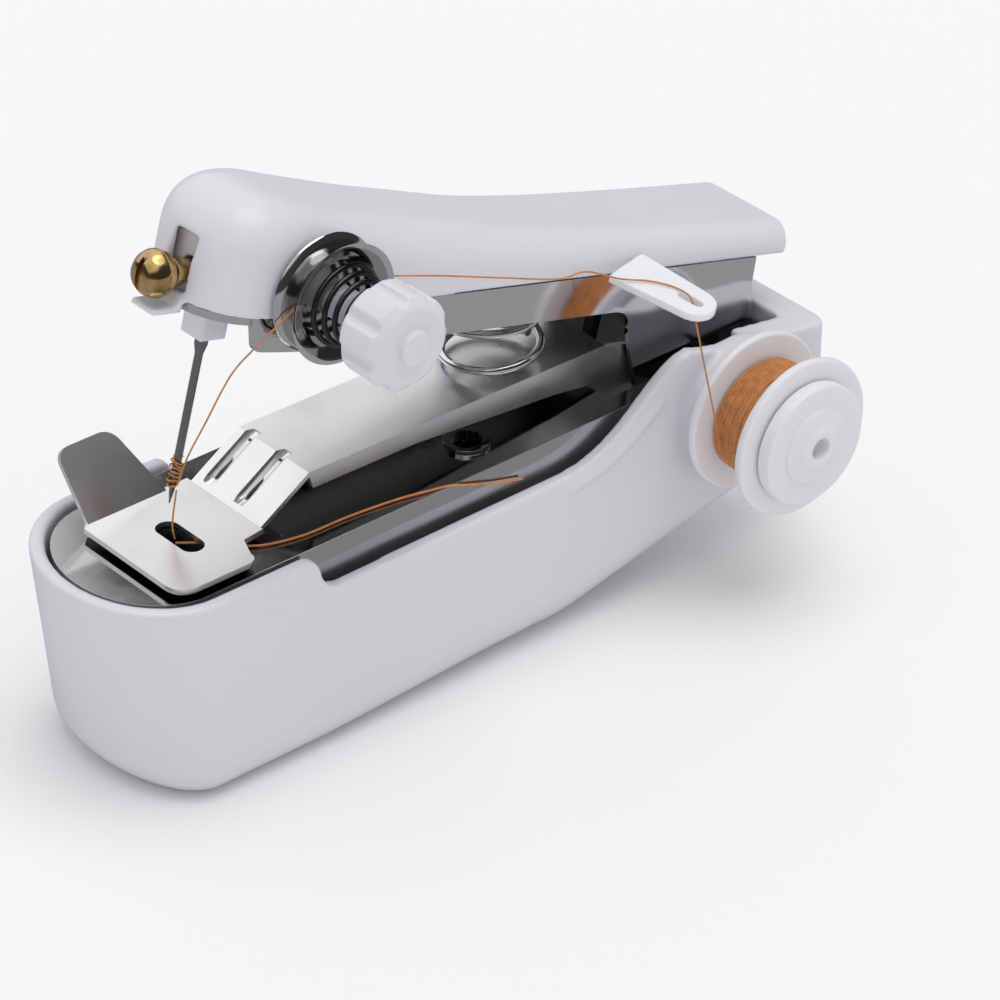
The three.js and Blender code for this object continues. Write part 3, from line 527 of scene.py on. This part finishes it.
def arm_point(x, y, z):
    """Place in the machine's frame of a point in the released arm's own frame."""
    c, s = math.cos(OPEN_ANGLE), math.sin(OPEN_ANGLE)
    return Vector((PIVOT_X + x * c + z * s, y, PIVOT_Z - x * s + z * c))


ARM_AXIS_X = arm_point(1, 0, 0) - arm_point(0, 0, 0)
ARM_AXIS_Z = arm_point(0, 0, 1) - arm_point(0, 0, 0)
ACROSS = Vector((0, 1, 0))


# ------------------------------------------------------------------ white tub
TUB_LENGTH, TUB_WIDTH, TUB_WALL = 109, 30, 1.9
RIM_HEIGHT = 27.8
NOSE_LENGTH, NOSE_DRAFT = 12.5, 4
BOTTOM_ROUND, REAR_BOTTOM_ROUND, TAIL_ROUND = 4.5, 7, 2.5
LIFT_START, LIFT_SLOPE, LIFT_BLEND = 9, 0.235, 6
SCOOP_HEIGHT, SCOOP_FRONT = 23.1, -29.5
SHOULDER_HEIGHT, SHOULDER_PEAK, TAIL_HEIGHT = 33, 31, 28.2
ROOF_FRONT, ROOF_WALL, ROOF_OPENING, ROOF_OPENING_END = 41, 2.1, 21.2, 49.6
SPOOL_X, SPOOL_Z = 38.3, 23.4
BOSS_RADIUS, BOSS_ROOT, BOSS_FACE, BOSS_BORE = 8.6, -13.5, -17.2, 2.5   # round boss for the spool pin
SPOOL_CENTRE = (SPOOL_X, 0, SPOOL_Z)
TUB_FRONT, TUB_REAR = -TUB_LENGTH / 2, TUB_LENGTH / 2
NOSE_CENTRE = TUB_FRONT + NOSE_LENGTH


def smoothstep(value, low, high):
    t = min(max((value - low) / (high - low), 0), 1)
    return t * t * (3 - 2 * t)


def bottom_lift(x):
    """Height of the underside, which rises towards the rear."""
    run = x - LIFT_START
    if run <= 0:
        return 0
    if run < LIFT_BLEND:
        return LIFT_SLOPE * run * run / (2 * LIFT_BLEND)
    return LIFT_SLOPE * (run - LIFT_BLEND / 2)


def tub_outline(inset, drop, nose=72, side=60, corner=8):
    """The tub seen from above at a share of the way down: round nose, rounded rear corners."""
    front = TUB_FRONT + inset + NOSE_DRAFT * drop
    half = TUB_WIDTH / 2 - inset
    rear = TUB_REAR - inset
    bend = max(TAIL_ROUND - inset / 2, 0.5)
    points = []
    for i in range(nose + 1):
        turn = math.pi / 2 + math.pi * i / nose
        points.append((NOSE_CENTRE + (NOSE_CENTRE - front) * math.cos(turn), half * math.sin(turn)))
    run = rear - bend - NOSE_CENTRE
    points += [(NOSE_CENTRE + run * i / side, -half) for i in range(1, side)]
    for sign, start in ((-1, -math.pi / 2), (1, 0)):
        for i in range(corner + 1):
            turn = start + math.pi / 2 * i / corner
            points.append((rear - bend + bend * math.cos(turn),
                           sign * (half - bend) + bend * math.sin(turn)))
    points += [(NOSE_CENTRE + run * i / side, half) for i in range(side - 1, 0, -1)]
    return points


def tub_body(wall, top):
    """The tub's solid shape, its skin inset by a wall, up to a flat top."""
    def ring(height, share):
        drop = 1 - height / RIM_HEIGHT
        made = []
        for (x, y), (ix, iy) in zip(tub_outline(wall, drop), tub_outline(wall + 1, drop)):
            blend = smoothstep(x, -30, 8)
            bend = BOTTOM_ROUND + (REAR_BOTTOM_ROUND - BOTTOM_ROUND) * blend - wall / 2
            inset = bend * (1 - math.sin(share))
            z = wall + bend * (1 - math.cos(share)) if share < math.pi / 2 else height
            made.append((x + inset * (ix - x), y + inset * (iy - y),
                         z + bottom_lift(x) * (1 - z / RIM_HEIGHT)))
        return made
    rings = []
    for i in range(13):
        share = math.pi / 2 * i / 12
        rings.append(ring(wall + BOTTOM_ROUND * (1 - math.cos(share)), min(share, 1.5707)))
    rings += [ring(RIM_HEIGHT / 2, math.pi / 2), ring(RIM_HEIGHT, math.pi / 2)]
    rings.append([(x, y, top) for x, y in tub_outline(wall, 0)])
    points, faces = skin(rings)
    made = new_piece("tub", points, faces, WHITE, None)
    outward(made)
    return made


def bezier(points, steps=24):
    """Points on a Bezier curve of any order, its first point left out."""
    made = []
    for i in range(1, steps + 1):
        row = [Vector(p) for p in points]
        while len(row) > 1:
            row = [a.lerp(b, i / steps) for a, b in zip(row, row[1:])]
        made.append(tuple(row[0]))
    return made


def above_tub():
    """Everything over the tub's side line: rim, scoop, shoulder and roof."""
    front, rear = TUB_FRONT - 5, TUB_REAR + 2
    outline = [(front, RIM_HEIGHT), (SCOOP_FRONT, RIM_HEIGHT)]
    outline += bezier([outline[-1], (SCOOP_FRONT + 1.6, RIM_HEIGHT - 0.2),
                       (SCOOP_FRONT + 2, RIM_HEIGHT - 2)], 8)
    outline += bezier([outline[-1], (SCOOP_FRONT + 2.6, SCOOP_HEIGHT - 0.2),
                       (SCOOP_FRONT + 5, SCOOP_HEIGHT - 0.4)], 10)
    outline.append((10.5, SCOOP_HEIGHT))
    outline += bezier([outline[-1], (20.5, SCOOP_HEIGHT), (24.5, SHOULDER_HEIGHT),
                       (SHOULDER_PEAK, SHOULDER_HEIGHT)], 40)
    outline += bezier([outline[-1], (SHOULDER_PEAK + 3.5, SHOULDER_HEIGHT - 1.8),
                       (rear, TAIL_HEIGHT)], 24)
    outline += [(rear, SHOULDER_HEIGHT + 6), (front, SHOULDER_HEIGHT + 6)]
    return side_tool(outline, -TUB_WIDTH, TUB_WIDTH)


# raised welt in X and Z that sweeps up from the scoop to the spool's boss, on the near wall
WELT_RADIUS = 0.6
WELT_ROUTE = [(11, 21.2), (14, 21.6), (17, 22.4), (19.5, 23.5), (22, 25), (24.3, 26.7), (26, 27.9)]


def white_tub():
    outer = boolean(tub_body(0, SHOULDER_HEIGHT + 4), above_tub())
    hollow = tub_body(TUB_WALL, SHOULDER_HEIGHT + 5)
    roof = box_tool(ROOF_FRONT, TUB_REAR, -TUB_WIDTH / 2, TUB_WIDTH / 2, TAIL_HEIGHT - ROOF_WALL,
                    SHOULDER_HEIGHT + 6)
    made = boolean(outer, boolean(hollow, roof))
    opening = box_tool(ROOF_FRONT - 1, ROOF_OPENING_END, -ROOF_OPENING / 2, ROOF_OPENING / 2,
                       TAIL_HEIGHT - ROOF_WALL - 1, SHOULDER_HEIGHT + 6)
    boolean(made, opening)
    profile = [(0, BOSS_ROOT), (BOSS_RADIUS, BOSS_ROOT), (BOSS_RADIUS, BOSS_FACE), (0, BOSS_FACE)]
    boss = lathe("tool", rounded(profile, 0.5), SPOOL_CENTRE, ACROSS, WHITE, None)
    boolean(made, boss, "UNION")
    profile = [(0, -30), (BOSS_BORE, -30), (BOSS_BORE, -12), (0, -12)]
    boolean(made, lathe("tool", profile, SPOOL_CENTRE, ACROSS, WHITE, None, 48))
    route = smooth_path([(x, 0.15 - TUB_WIDTH / 2, z) for x, z in WELT_ROUTE], 6)
    welt = tube("tool", route, WELT_RADIUS, WHITE, None)
    boolean(made, welt, "UNION")
    made.name = "base_tub"
    soften(made, 0.34, 12)
    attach(made, "base")
    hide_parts("base_housing")


white_tub()

# ------------------------------------------------------------------ white cover of the arm
COVER_BOTTOM = 15.9
COVER_WIDTH, HEAD_WIDTH, COVER_WALL = 16.8, 18.6, 1.4
COVER_REAR, HEAD_TIP = 3.3, -89.4
COVER_RIDGE = [
    (COVER_REAR, 3.8), (-10, 4.2), (-22, 4.7), (-32, 5.3), (-42, 6.3), (-49, 7.4), (-56, 8.5),
    (-62, 9.4), (-69, 10.7), (-75, 11.9), (-79, 12.75), (-82, 12.8), (-84.3, 12.4), (-86.6, 11.1),
    (-88.2, 8.6), (-89, 5.6), (HEAD_TIP, 4.2)]
RIDGE_PATH = smooth_path([(x, 0, z) for x, z in COVER_RIDGE], 16)
TENSION_X, TENSION_Z = -75.3, 19


def cover_height(x):
    for a, b in zip(RIDGE_PATH, RIDGE_PATH[1:]):
        if b.x <= x <= a.x:
            return a.z + (b.z - a.z) * (a.x - x) / max(a.x - b.x, 1e-9)
    return RIDGE_PATH[0].z if x > 0 else RIDGE_PATH[-1].z


def cover_half_width(x):
    nose_start = -80.5
    half = (COVER_WIDTH + (HEAD_WIDTH - COVER_WIDTH) * smoothstep(-x, 45, 72)) / 2
    if x > nose_start:
        return half
    share = (nose_start - x) / (nose_start - HEAD_TIP)
    return half * math.sqrt(max(1 - share ** 2.3, 0.004))


def cover_section(x, wall):
    """The cover's cross section at x, inset by a wall, with its top corners rounded."""
    half = max(cover_half_width(x) - wall, 0.3)
    height = max(cover_height(x) - wall, 0.6)
    bend = min(half * 0.62, height * 0.75, 6)
    low = COVER_BOTTOM + (-1 if wall > 0 else 0)
    made = [arm_point(x, 0, low), arm_point(x, half, low)]
    for sign, start in ((1, 0), (-1, math.pi / 2)):
        for i in range(13):
            turn = start + math.pi / 2 * i / 12
            made.append(arm_point(x, sign * (half - bend) + bend * math.cos(turn),
                                  COVER_BOTTOM + height - bend + bend * math.sin(turn)))
    made.append(arm_point(x, -half, low))
    return made


def cover_body(wall, rear, front):
    """The cover's solid shape, with its stations closer together round the head."""
    stations = [rear]
    x = math.floor(rear) - 1
    while x > front + 0.05:
        stations.append(x)
        x -= 1.5 if x > -79 else (0.5 if x > -87 else 0.15)
    stations.append(front)
    points, faces = skin([cover_section(x, wall) for x in reversed(stations)])
    made = new_piece("cover", points, faces, WHITE, None)
    outward(made)
    return made


def arm_box(*limits):
    """A box tool with its limits in the arm's own frame."""
    return box_tool(*limits, place=lambda corner: arm_point(*corner))


def arm_plate(outline, y0, y1):
    """A closed outline in the arm's X and Z, given a width."""
    made = side_tool(outline, y0, y1)
    for corner in made.data.vertices:
        corner.co = arm_point(*(corner.co / MM)) * MM
    return made


def white_cover():
    made = boolean(cover_body(0, COVER_REAR, HEAD_TIP + 0.05),
                   cover_body(COVER_WALL, COVER_REAR - COVER_WALL, HEAD_TIP + COVER_WALL))
    low = COVER_BOTTOM
    ledge = arm_plate([(-93.2, low - 1.5), (-89, low - 1.5), (-89, low + 0.05), (-88.1, low + 0.05),
                       (-88.1, low + 0.8), (-89.2, low + 0.8), (-89.8, low - 0.7), (-93.2, low - 0.7)],
                      -2.2, 2.2)
    boolean(made, ledge, "UNION")
    boolean(made, arm_box(-95, -85, -2, 2, low + 0.8, low + 7.6))
    dimple = lathe("tool", [(0, -8.8), (0.45, -8.8), (0.45, -8.1), (0, -8.1)], arm_point(-5.1, 0, 18.2),
                   ACROSS, WHITE, None, 24)
    boolean(made, dimple)
    bore = lathe("tool", [(0, -15), (2.4, -15), (2.4, -5), (0, -5)],
                 arm_point(TENSION_X, 0, TENSION_Z), ACROSS, WHITE, None, 48)
    boolean(made, bore)
    made.name = "arm_cover"
    soften(made, 0.26, 12)
    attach(made, "arm")
    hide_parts("top_cover")


white_cover()


# ------------------------------------------------------------------ pressed steel
# two grooves pressed into the presser plate's slope: the path of the round tool, above the steel
GROOVE_PLACES = (4.4, -1.4)
GROOVE_RADIUS = 1.08
GROOVE_ROUTE = [(-29.4, 30), (-28.6, 30.19), (-25.5, 32.14), (-23.4, 33.46), (-21.8, 34.15)]


def pressed_steel():
    frame_piece = cad_copy("lower_frame", "deck_frame", DECK_CHROME, "base")
    bevelled(frame_piece, 0.12, 0.7, lambda a, b: min(a.z, b.z) > DECK_TOP - 0.05
             and min(abs(a.y), abs(b.y)) > 12.1)
    channel = cad_copy("arm_channel", "arm_sheet", CHROME, "arm")
    bevelled(channel, 0.1)
    plate = cad_copy("presser_plate", "presser_sheet", SATIN, "presser")
    for y in GROOVE_PLACES:
        route = smooth_path([(x, y, z) for x, z in GROOVE_ROUTE], 8)
        boolean(plate, tube("tool", route, GROOVE_RADIUS, SATIN, None, 20))
    bevelled(plate, 0.12)


pressed_steel()


# ------------------------------------------------------------------ spool
SPOOL_OUTER, SPOOL_INNER, SPOOL_FLANGE = -27.1, -17.6, 1.2
SPOOL_RADIUS, HUB_RADIUS, WINDING_RADIUS = 10.5, 3.6, 7.7
PIN_RADIUS, PIN_HEAD_RADIUS = 2.2, 8


def spool():
    bore = PIN_RADIUS + 0.3
    reel = lathe("spool_reel", rounded([
        (bore, SPOOL_OUTER), (SPOOL_RADIUS, SPOOL_OUTER), (SPOOL_RADIUS, SPOOL_OUTER + SPOOL_FLANGE),
        (HUB_RADIUS, SPOOL_OUTER + SPOOL_FLANGE), (HUB_RADIUS, SPOOL_INNER - SPOOL_FLANGE),
        (SPOOL_RADIUS, SPOOL_INNER - SPOOL_FLANGE), (SPOOL_RADIUS, SPOOL_INNER), (bore, SPOOL_INNER),
        (bore, SPOOL_OUTER)], 0.45), SPOOL_CENTRE, ACROSS, SPOOL_WHITE, "bobbin", 160, 60)
    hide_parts("bobbin")
    head = SPOOL_OUTER - 0.3
    inner = -TUB_WIDTH / 2 + TUB_WALL - 0.3
    pin = lathe("spool_pin_head", rounded([
        (0, head - 1.2), (1.4, head - 1.2), (1.4, head - 3), (2.6, head - 3), (3.2, head - 2.5),
        (4.9, head - 2.3), (5.1, head - 1.9), (PIN_HEAD_RADIUS, head - 1.9), (PIN_HEAD_RADIUS, head),
        (PIN_RADIUS, head), (PIN_RADIUS, inner - 0.4), (PIN_RADIUS - 0.4, inner), (0, inner)], 0.3),
        SPOOL_CENTRE, ACROSS, SPOOL_WHITE, "spool_pin", 128, 60)
    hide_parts("spool_pin")


def winding():
    """Thread wound on the spool: a core and three layers of turns that cross a little."""
    low, high = SPOOL_OUTER + SPOOL_FLANGE + 0.15, SPOOL_INNER - SPOOL_FLANGE - 0.15
    steps = 40      # points in each turn
    rng = random.Random(4)
    path = []
    for layer, turns in enumerate((27, 21, 17)):
        start, end = (low + 0.25, high - 0.3) if layer % 2 == 0 else (high - 0.35, low + 0.3)
        drift = 0.0
        for i in range(turns * steps):
            share = i / (turns * steps)
            if i % steps == 0:
                drift += rng.uniform(-0.12, 0.12) - drift * 0.4
            turn = 2 * math.pi * turns * share
            along = start + (end - start) * share + drift + 0.18 * math.sin(turn + layer * 2)
            along = min(max(along, low + 0.15), high - 0.15)
            crown = 1 - 0.16 * ((2 * (along - low) / (high - low) - 1) ** 4)
            radius = (WINDING_RADIUS - 0.62 + 0.17 * layer) * (0.93 + 0.07 * crown)
            path.append(Vector((SPOOL_X + radius * math.cos(turn), along,
                                SPOOL_Z + radius * math.sin(turn))))
    turns_piece = tube("winding_turns", path, 0.17, THREAD, "bobbin", 6)
    inside, edge, middle = HUB_RADIUS + 0.1, WINDING_RADIUS - 1.2, WINDING_RADIUS - 0.75
    profile = [(inside, low), (edge, low), (middle, low + 0.8), (middle, high - 0.8), (edge, high),
               (inside, high), (inside, low)]
    core = lathe("winding_core", rounded(profile, 0.4), SPOOL_CENTRE, ACROSS, THREAD, "bobbin", 96, 60)
    core.data.uv_layers.new(name="along")
    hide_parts("thread_winding")


spool()
winding()

# ------------------------------------------------------------------ thread tension
DISC_INNER_Y, THREAD_GAP, DISC_SHEET, DISC_RADIUS = -11.2, 0.5, 0.5, 7.6
DISC_OUTER_Y = DISC_INNER_Y - DISC_SHEET - THREAD_GAP
POST_RADIUS, POST_ROOT, POST_TIP = 2.1, -5.4, -22.2
KNOB_FACE = -19.2
TENSION_CENTRE = arm_point(TENSION_X, 0, TENSION_Z)


def tension_disc(name, node, y, flare):
    """A dished disc at y, its rim turned to the side that flare gives, its face in darker chrome and
    its rim in brighter chrome: painted shade and a painted highlight.
    """
    t = DISC_SHEET / 2
    lip = DISC_RADIUS - 2.2
    bore = POST_RADIUS + 0.3
    profile = [(bore, y - t), (lip, y - t), (DISC_RADIUS - 0.6, y - t + flare * 0.9),
               (DISC_RADIUS, y + flare * 1.3), (DISC_RADIUS - 0.9, y + t + flare * 1.1),
               (lip - 0.3, y + t), (bore, y + t), (bore, y - t)]
    made = lathe(name, rounded(profile, 0.35), TENSION_CENTRE, ACROSS, SHADED_DISC_CHROME, "arm", 160, 50)
    made.data.materials.append(CHROME)
    # the outer band of the disc gets the brighter chrome: a painted highlight on its rim
    painted_highlight_rim = 0.8
    for face in made.data.polygons:
        off = face.center - TENSION_CENTRE * MM
        face.material_index = int(math.hypot(off.x, off.z) > (DISC_RADIUS - painted_highlight_rim) * MM)
    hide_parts(node)


def tension_parts():
    tension_disc("tension_dish_inner", "tension_disc_inner", DISC_INNER_Y, 1)
    tension_disc("tension_dish_outer", "tension_disc_outer", DISC_OUTER_Y, -1)
    ridges = [(0, POST_ROOT), (POST_RADIUS, POST_ROOT), (POST_RADIUS, DISC_OUTER_Y - 0.6)]
    y = DISC_OUTER_Y - 0.7
    while y > POST_TIP + 0.8:
        ridges += [(POST_RADIUS, y), (POST_RADIUS - 0.28, y - 0.25), (POST_RADIUS, y - 0.5)]
        y -= 0.75
    ridges += [(POST_RADIUS - 0.3, POST_TIP), (0, POST_TIP)]
    post = lathe("tension_thread_post", ridges, TENSION_CENTRE, ACROSS, WHITE, "arm", 64, 60)
    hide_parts("tension_post")
    first, last = DISC_OUTER_Y - DISC_SHEET / 2 - 0.75, KNOB_FACE + 0.75
    wide, narrow, turns = 5, 3.1, 4
    path = []
    for i in range(turns * 48 + 1):
        share = i / (turns * 48)
        turn = 2 * math.pi * turns * share
        radius = wide - (wide - narrow) * share
        path.append(arm_point(TENSION_X + radius * math.cos(turn), first + (last - first) * share,
                              TENSION_Z + radius * math.sin(turn)))
    coil = tube("tension_coil", path, 0.34, BLACK_STEEL, None, 14)
    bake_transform(coil)
    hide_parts("tension_spring")
    knob = cad_copy("tension_knob", "tension_thumb_nut", WHITE, "tension_knob")
    soften(knob, 0.14, 5)


tension_parts()


# ------------------------------------------------------------------ needle end
NEEDLE_X = -83.2


def needle_and_holder():
    tip, top = -11.1, COVER_BOTTOM + 5.6
    blade, shank = 0.5, 0.8     # radii
    eye_z, eye_half = -8.5, 0.17
    profile = [(0, tip), (0.1, tip + 0.1), (0.3, tip + 1.6), (blade, tip + 3.6), (blade, 8),
               (shank, 9.2), (shank, top), (0, top)]
    needle = lathe("needle_blade", profile, arm_point(NEEDLE_X, 0, 0), ARM_AXIS_Z, STEEL, "arm", 32, 40)
    boolean(needle, arm_box(NEEDLE_X - 2, NEEDLE_X + 2, -eye_half, eye_half, eye_z - 0.5, eye_z + 0.9))
    set_smooth(needle, 40)
    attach(needle, "arm")
    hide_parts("needle")
    holder = cad_copy("needle_holder", "needle_block", WHITE, "arm")
    soften(holder, 0.16, 4)


def clamp_screw():
    """The needle clamp's screw, with a slotted round head, and its collar."""
    collar, clamp_z = -90.1, 18.8
    head, end = collar - 0.3, NEEDLE_X - 1.1
    shaft, slot_half = 1.3, 0.35
    profile = [(0, head - 4.4), (1.6, head - 4.1), (2.6, head - 3), (2.95, head - 1.8),
               (2.5, head - 0.5), (1.9, head), (shaft, head), (shaft, end), (0, end)]
    screw = lathe("clamp_thumb_screw", rounded(profile, 0.5), arm_point(0, 0, clamp_z), ARM_AXIS_X,
                  ZINC, "clamp_screw", 64, 50)
    boolean(screw, arm_box(-100, head - 3.6, -slot_half, slot_half, clamp_z - 4, clamp_z + 4))
    set_smooth(screw, 50)
    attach(screw, "clamp_screw")
    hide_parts("needle_clamp_screw")
    bore, rim, length = 1.6, 1.75, 1.3
    profile = [(bore, collar), (rim, collar), (rim, collar + length), (bore, collar + length),
               (bore, collar)]
    washer = lathe("clamp_ring", rounded(profile, 0.05), arm_point(0, 0, clamp_z), ARM_AXIS_X, ZINC,
                   "clamp_washer", 48, 50)
    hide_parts("needle_clamp_washer")


needle_and_holder()
clamp_screw()


# ------------------------------------------------------------------ springs and hidden steel
def coil_spring():
    """The main spring, from the presser plate up to the arm's sloping roof."""
    coils, radius, wire = 3.4, 6.1, 0.55
    plate_top, arm_roof, sheet = 33.4, 15.6, 0.7
    gap = wire + 0.45
    low = Vector((11.1, 0, plate_top + gap - 0.2))
    high = arm_point(-39, 0, arm_roof - sheet - gap)
    count = round(coils * 60)
    flat_end = 0.12     # share of the wire that lies flat at each end
    path = []
    for i in range(count + 1):
        share = i / count
        rise = min(max((share - flat_end) / (1 - 2 * flat_end), 0), 1)
        if 0 < rise < 1:
            rise = smoothstep(rise, -0.1, 1.1) * 1.0645 - 0.0233
        tilt = OPEN_ANGLE * rise
        turn = 2 * math.pi * coils * share
        centre = low.lerp(high, rise)
        along = radius * math.cos(turn)
        path.append(Vector((centre.x + along * math.cos(tilt), radius * math.sin(turn),
                            centre.z - along * math.sin(tilt))))
    made = tube("coil_spring", path, wire, SPRING_WIRE, "presser", 16)
    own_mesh(made)
    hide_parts("main_spring")


def hidden_steel():
    for node, material, slot_name, body in (
            ("pivot_pin", STEEL, "needle_steel", "base"),
            ("looper_pin", STEEL, "needle_steel", "base"),
            ("looper", STEEL, "needle_steel", "looper"),
            ("frame_screw_front", STEEL, "needle_steel", "base"),
            ("frame_screw_rear", STEEL, "needle_steel", "base"),
            ("looper_drive_strip", BLACK_STEEL, "dark_steel", "arm"),
            ("looper_spring", BLACK_STEEL, "dark_steel", "base")):
        piece = cad_copy(node, node + "_finished", material, body)
        bevelled(piece, 0.08)


coil_spring()
hidden_steel()


# ------------------------------------------------------------------ thread guide and thread runs
GUIDE_ROOT, GUIDE_TIP = Vector((-26, -8.75, 16.7)), Vector((-22.3, -21.4, 15.2))
GUIDE_THICK, GUIDE_EYE = 1.1, 2.8      # leaf's thickness; eye's centre from the leaf's tip
GUIDE_LENGTH = (GUIDE_TIP - GUIDE_ROOT).length
GUIDE_ALONG = (GUIDE_TIP - GUIDE_ROOT).normalized()
GUIDE_ACROSS = Vector((-0.2, -0.16, 0.97)).cross(GUIDE_ALONG).normalized()
GUIDE_UP = GUIDE_ALONG.cross(GUIDE_ACROSS).normalized()


def leaf_point(along, across, above):
    return GUIDE_ROOT + along * GUIDE_ALONG + across * GUIDE_ACROSS + above * GUIDE_UP


def guide_leaf():
    leaf = cad_copy("thread_guide", "thread_leaf", LEAF_WHITE, "arm")
    soften(leaf, 0.14, 4)


def run_of_thread(name, node, body, points):
    """A stretch of thread held at both ends, through the points."""
    made = tube(name, smooth_path(points, 10), RUN_RADIUS, THREAD, body)
    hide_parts(node)
    return made


def needle_lashing():
    """Loose turns of thread round the lower end of the needle."""
    turns, steps = 7, 16
    wraps = []
    for i in range(turns * steps + 1):
        turn = 2 * math.pi * i / steps
        loose = 0.66 + 0.16 * math.sin(1.7 * turn + 0.6)
        wraps.append(arm_point(NEEDLE_X + loose * math.cos(turn), loose * math.sin(turn),
                               -5.2 - 0.082 * turn + 0.22 * math.sin(0.9 * turn)))
    lashing = tube("thread_lashing", wraps, 0.1, THREAD, "arm")


def thread_runs():
    y = DISC_INNER_Y - DISC_SHEET / 2 - THREAD_GAP / 2
    run_of_thread("thread_to_guide", "thread_guide_run", "arm", [arm_point(*p) for p in (
        (TENSION_X + 3.4, y, TENSION_Z + 2.6), (TENSION_X + 7.2, y, TENSION_Z + 2.1),
        (-59, -11.4, 20.1), (-48.8, -11, 18.7), (-38.3, -10.75, 17.45),
        leaf_point(-1.4, -5.6, GUIDE_THICK + 0.45), leaf_point(2.1, -3.6, GUIDE_THICK + 0.35),
        leaf_point(4.7, -1.1, GUIDE_THICK + 0.25), leaf_point(7.5, 0.2, GUIDE_THICK + 0.22),
        leaf_point(9.6, 0.2, GUIDE_THICK + 0.12),
        leaf_point(GUIDE_LENGTH - GUIDE_EYE, 0, GUIDE_THICK * 0.5))])
    run_of_thread("thread_to_needle", "thread_needle_run", "arm", [arm_point(*p) for p in (
        (TENSION_X - 3.4, y, TENSION_Z + 1.6), (TENSION_X - 6.2, y, TENSION_Z - 1.2),
        (-83.3, -9.4, 13), (-83.5, -6.5, 8.4), (-83.6, -3.7, 0.6), (-83.7, -2.1, -4.2),
        (-83.3, -0.9, -8.3))])
    needle_lashing()
    start = arm_point(*leaf_point(GUIDE_LENGTH - GUIDE_EYE, 0, 0.2))
    reach = WINDING_RADIUS + 0.35
    run = Vector((start.x - SPOOL_X, start.z - SPOOL_Z))
    swing = math.atan2(run.y, run.x) + math.acos(reach / run.length)
    touch = Vector((SPOOL_X + reach * math.cos(swing), -21, SPOOL_Z + reach * math.sin(swing)))
    to_spool = run_of_thread("thread_to_spool", "thread_spool_run", None,
                             [start, start.lerp(touch, 0.5), touch])
    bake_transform(to_spool)
    needle_eye = arm_point(-83.3, -0.9, -9)
    under_pad = Vector((SLOT_X - 0.3, -1.5, DECK_TOP + 1))
    from_eye = run_of_thread("thread_from_eye", "thread_eye_run", None,
                             [needle_eye, Vector((SLOT_X - 0.5, -1.4, 30.2)), under_pad])
    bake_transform(from_eye)


guide_leaf()
thread_runs()


# ------------------------------------------------------------------ stage
def stage_and_light():
    size = 6000
    corners = [(-size, -size, 0), (size, -size, 0), (size, size, 0), (-size, size, 0)]
    floor = new_piece("floor", corners, [(0, 1, 2, 3)], WHITE, None)
    white_paper, floor_reflection_shade = (0.96, 0.96, 0.96), (0.4, 0.4, 0.41)
    paper, tree, shader = new_material("pale_paper", white_paper, roughness=0.9)
    shader.inputs["Specular IOR Level"].default_value = 0.1
    # the floor shows grey to glossy rays only: painted shade in the floor's reflections
    glance = tree.nodes.new("ShaderNodeLightPath")
    paper_with_reflection_shade = ramp_of(tree, glance.outputs["Is Glossy Ray"], [(0, white_paper), (1, floor_reflection_shade)])
    tree.links.new(paper_with_reflection_shade, shader.inputs["Base Color"])
    floor.data.materials.clear()
    floor.data.materials.append(paper)
    world = bpy.data.worlds.new("studio")
    scene.world = world
    world.use_nodes = True
    tree = world.node_tree
    tree.nodes["Background"].inputs["Strength"].default_value = 1.0
    place = tree.nodes.new("ShaderNodeTexCoord")

    def toward(direction, narrow, wide):
        """1 within the narrow angle of a direction, 0 outside the wide one."""
        dot = tree.nodes.new("ShaderNodeVectorMath")
        dot.operation = "DOT_PRODUCT"
        dot.inputs[1].default_value = Vector(direction).normalized()
        tree.links.new(place.outputs["Generated"], dot.inputs[0])
        spread = tree.nodes.new("ShaderNodeMapRange")
        spread.interpolation_type = "SMOOTHSTEP"
        spread.inputs["From Min"].default_value = math.cos(math.radians(wide))
        spread.inputs["From Max"].default_value = math.cos(math.radians(narrow))
        tree.links.new(dot.outputs["Value"], spread.inputs["Value"])
        return spread.outputs["Result"]

    def mix(factor, under, over):
        node = tree.nodes.new("ShaderNodeMix")
        node.data_type = "RGBA"
        tree.links.new(factor, node.inputs["Factor"])
        for socket, value in (("A", under), ("B", over)):
            here = [s for s in node.inputs if s.name == socket and s.type == "RGBA"][0]
            if isinstance(value, tuple):
                here.default_value = (*value, 1)
            else:
                tree.links.new(value, here)
        return [s for s in node.outputs if s.type == "RGBA"][0]

    dark = (0.045, 0.045, 0.05)
    bank = mix(toward((0.06, 0.7, 0.71), 38, 48), dark, (1.05, 1.05, 1.07))
    crown = mix(toward((-0.5, -0.1, 0.86), 22, 40), bank, (0.75, 0.75, 0.77))
    flag = mix(toward((0.5345, 0.6438, 0.5476), 3.5, 4.1), crown, dark)
    sight = tree.nodes.new("ShaderNodeLightPath")
    seen = mix(sight.outputs["Is Glossy Ray"], (0.62, 0.62, 0.635), flag)
    tree.links.new(seen, tree.nodes["Background"].inputs["Color"])
    data = bpy.data.lights.new("key", "SUN")
    data.angle = math.radians(50)
    data.energy = 1.14
    lamp = bpy.data.objects.new("key", data)
    scene.collection.objects.link(lamp)
    lamp.rotation_mode = "QUATERNION"
    lamp.rotation_quaternion = Vector((-60, 40, -420)).to_track_quat("-Z", "Y")


stage_and_light()
scene.view_settings.view_transform = "Standard"
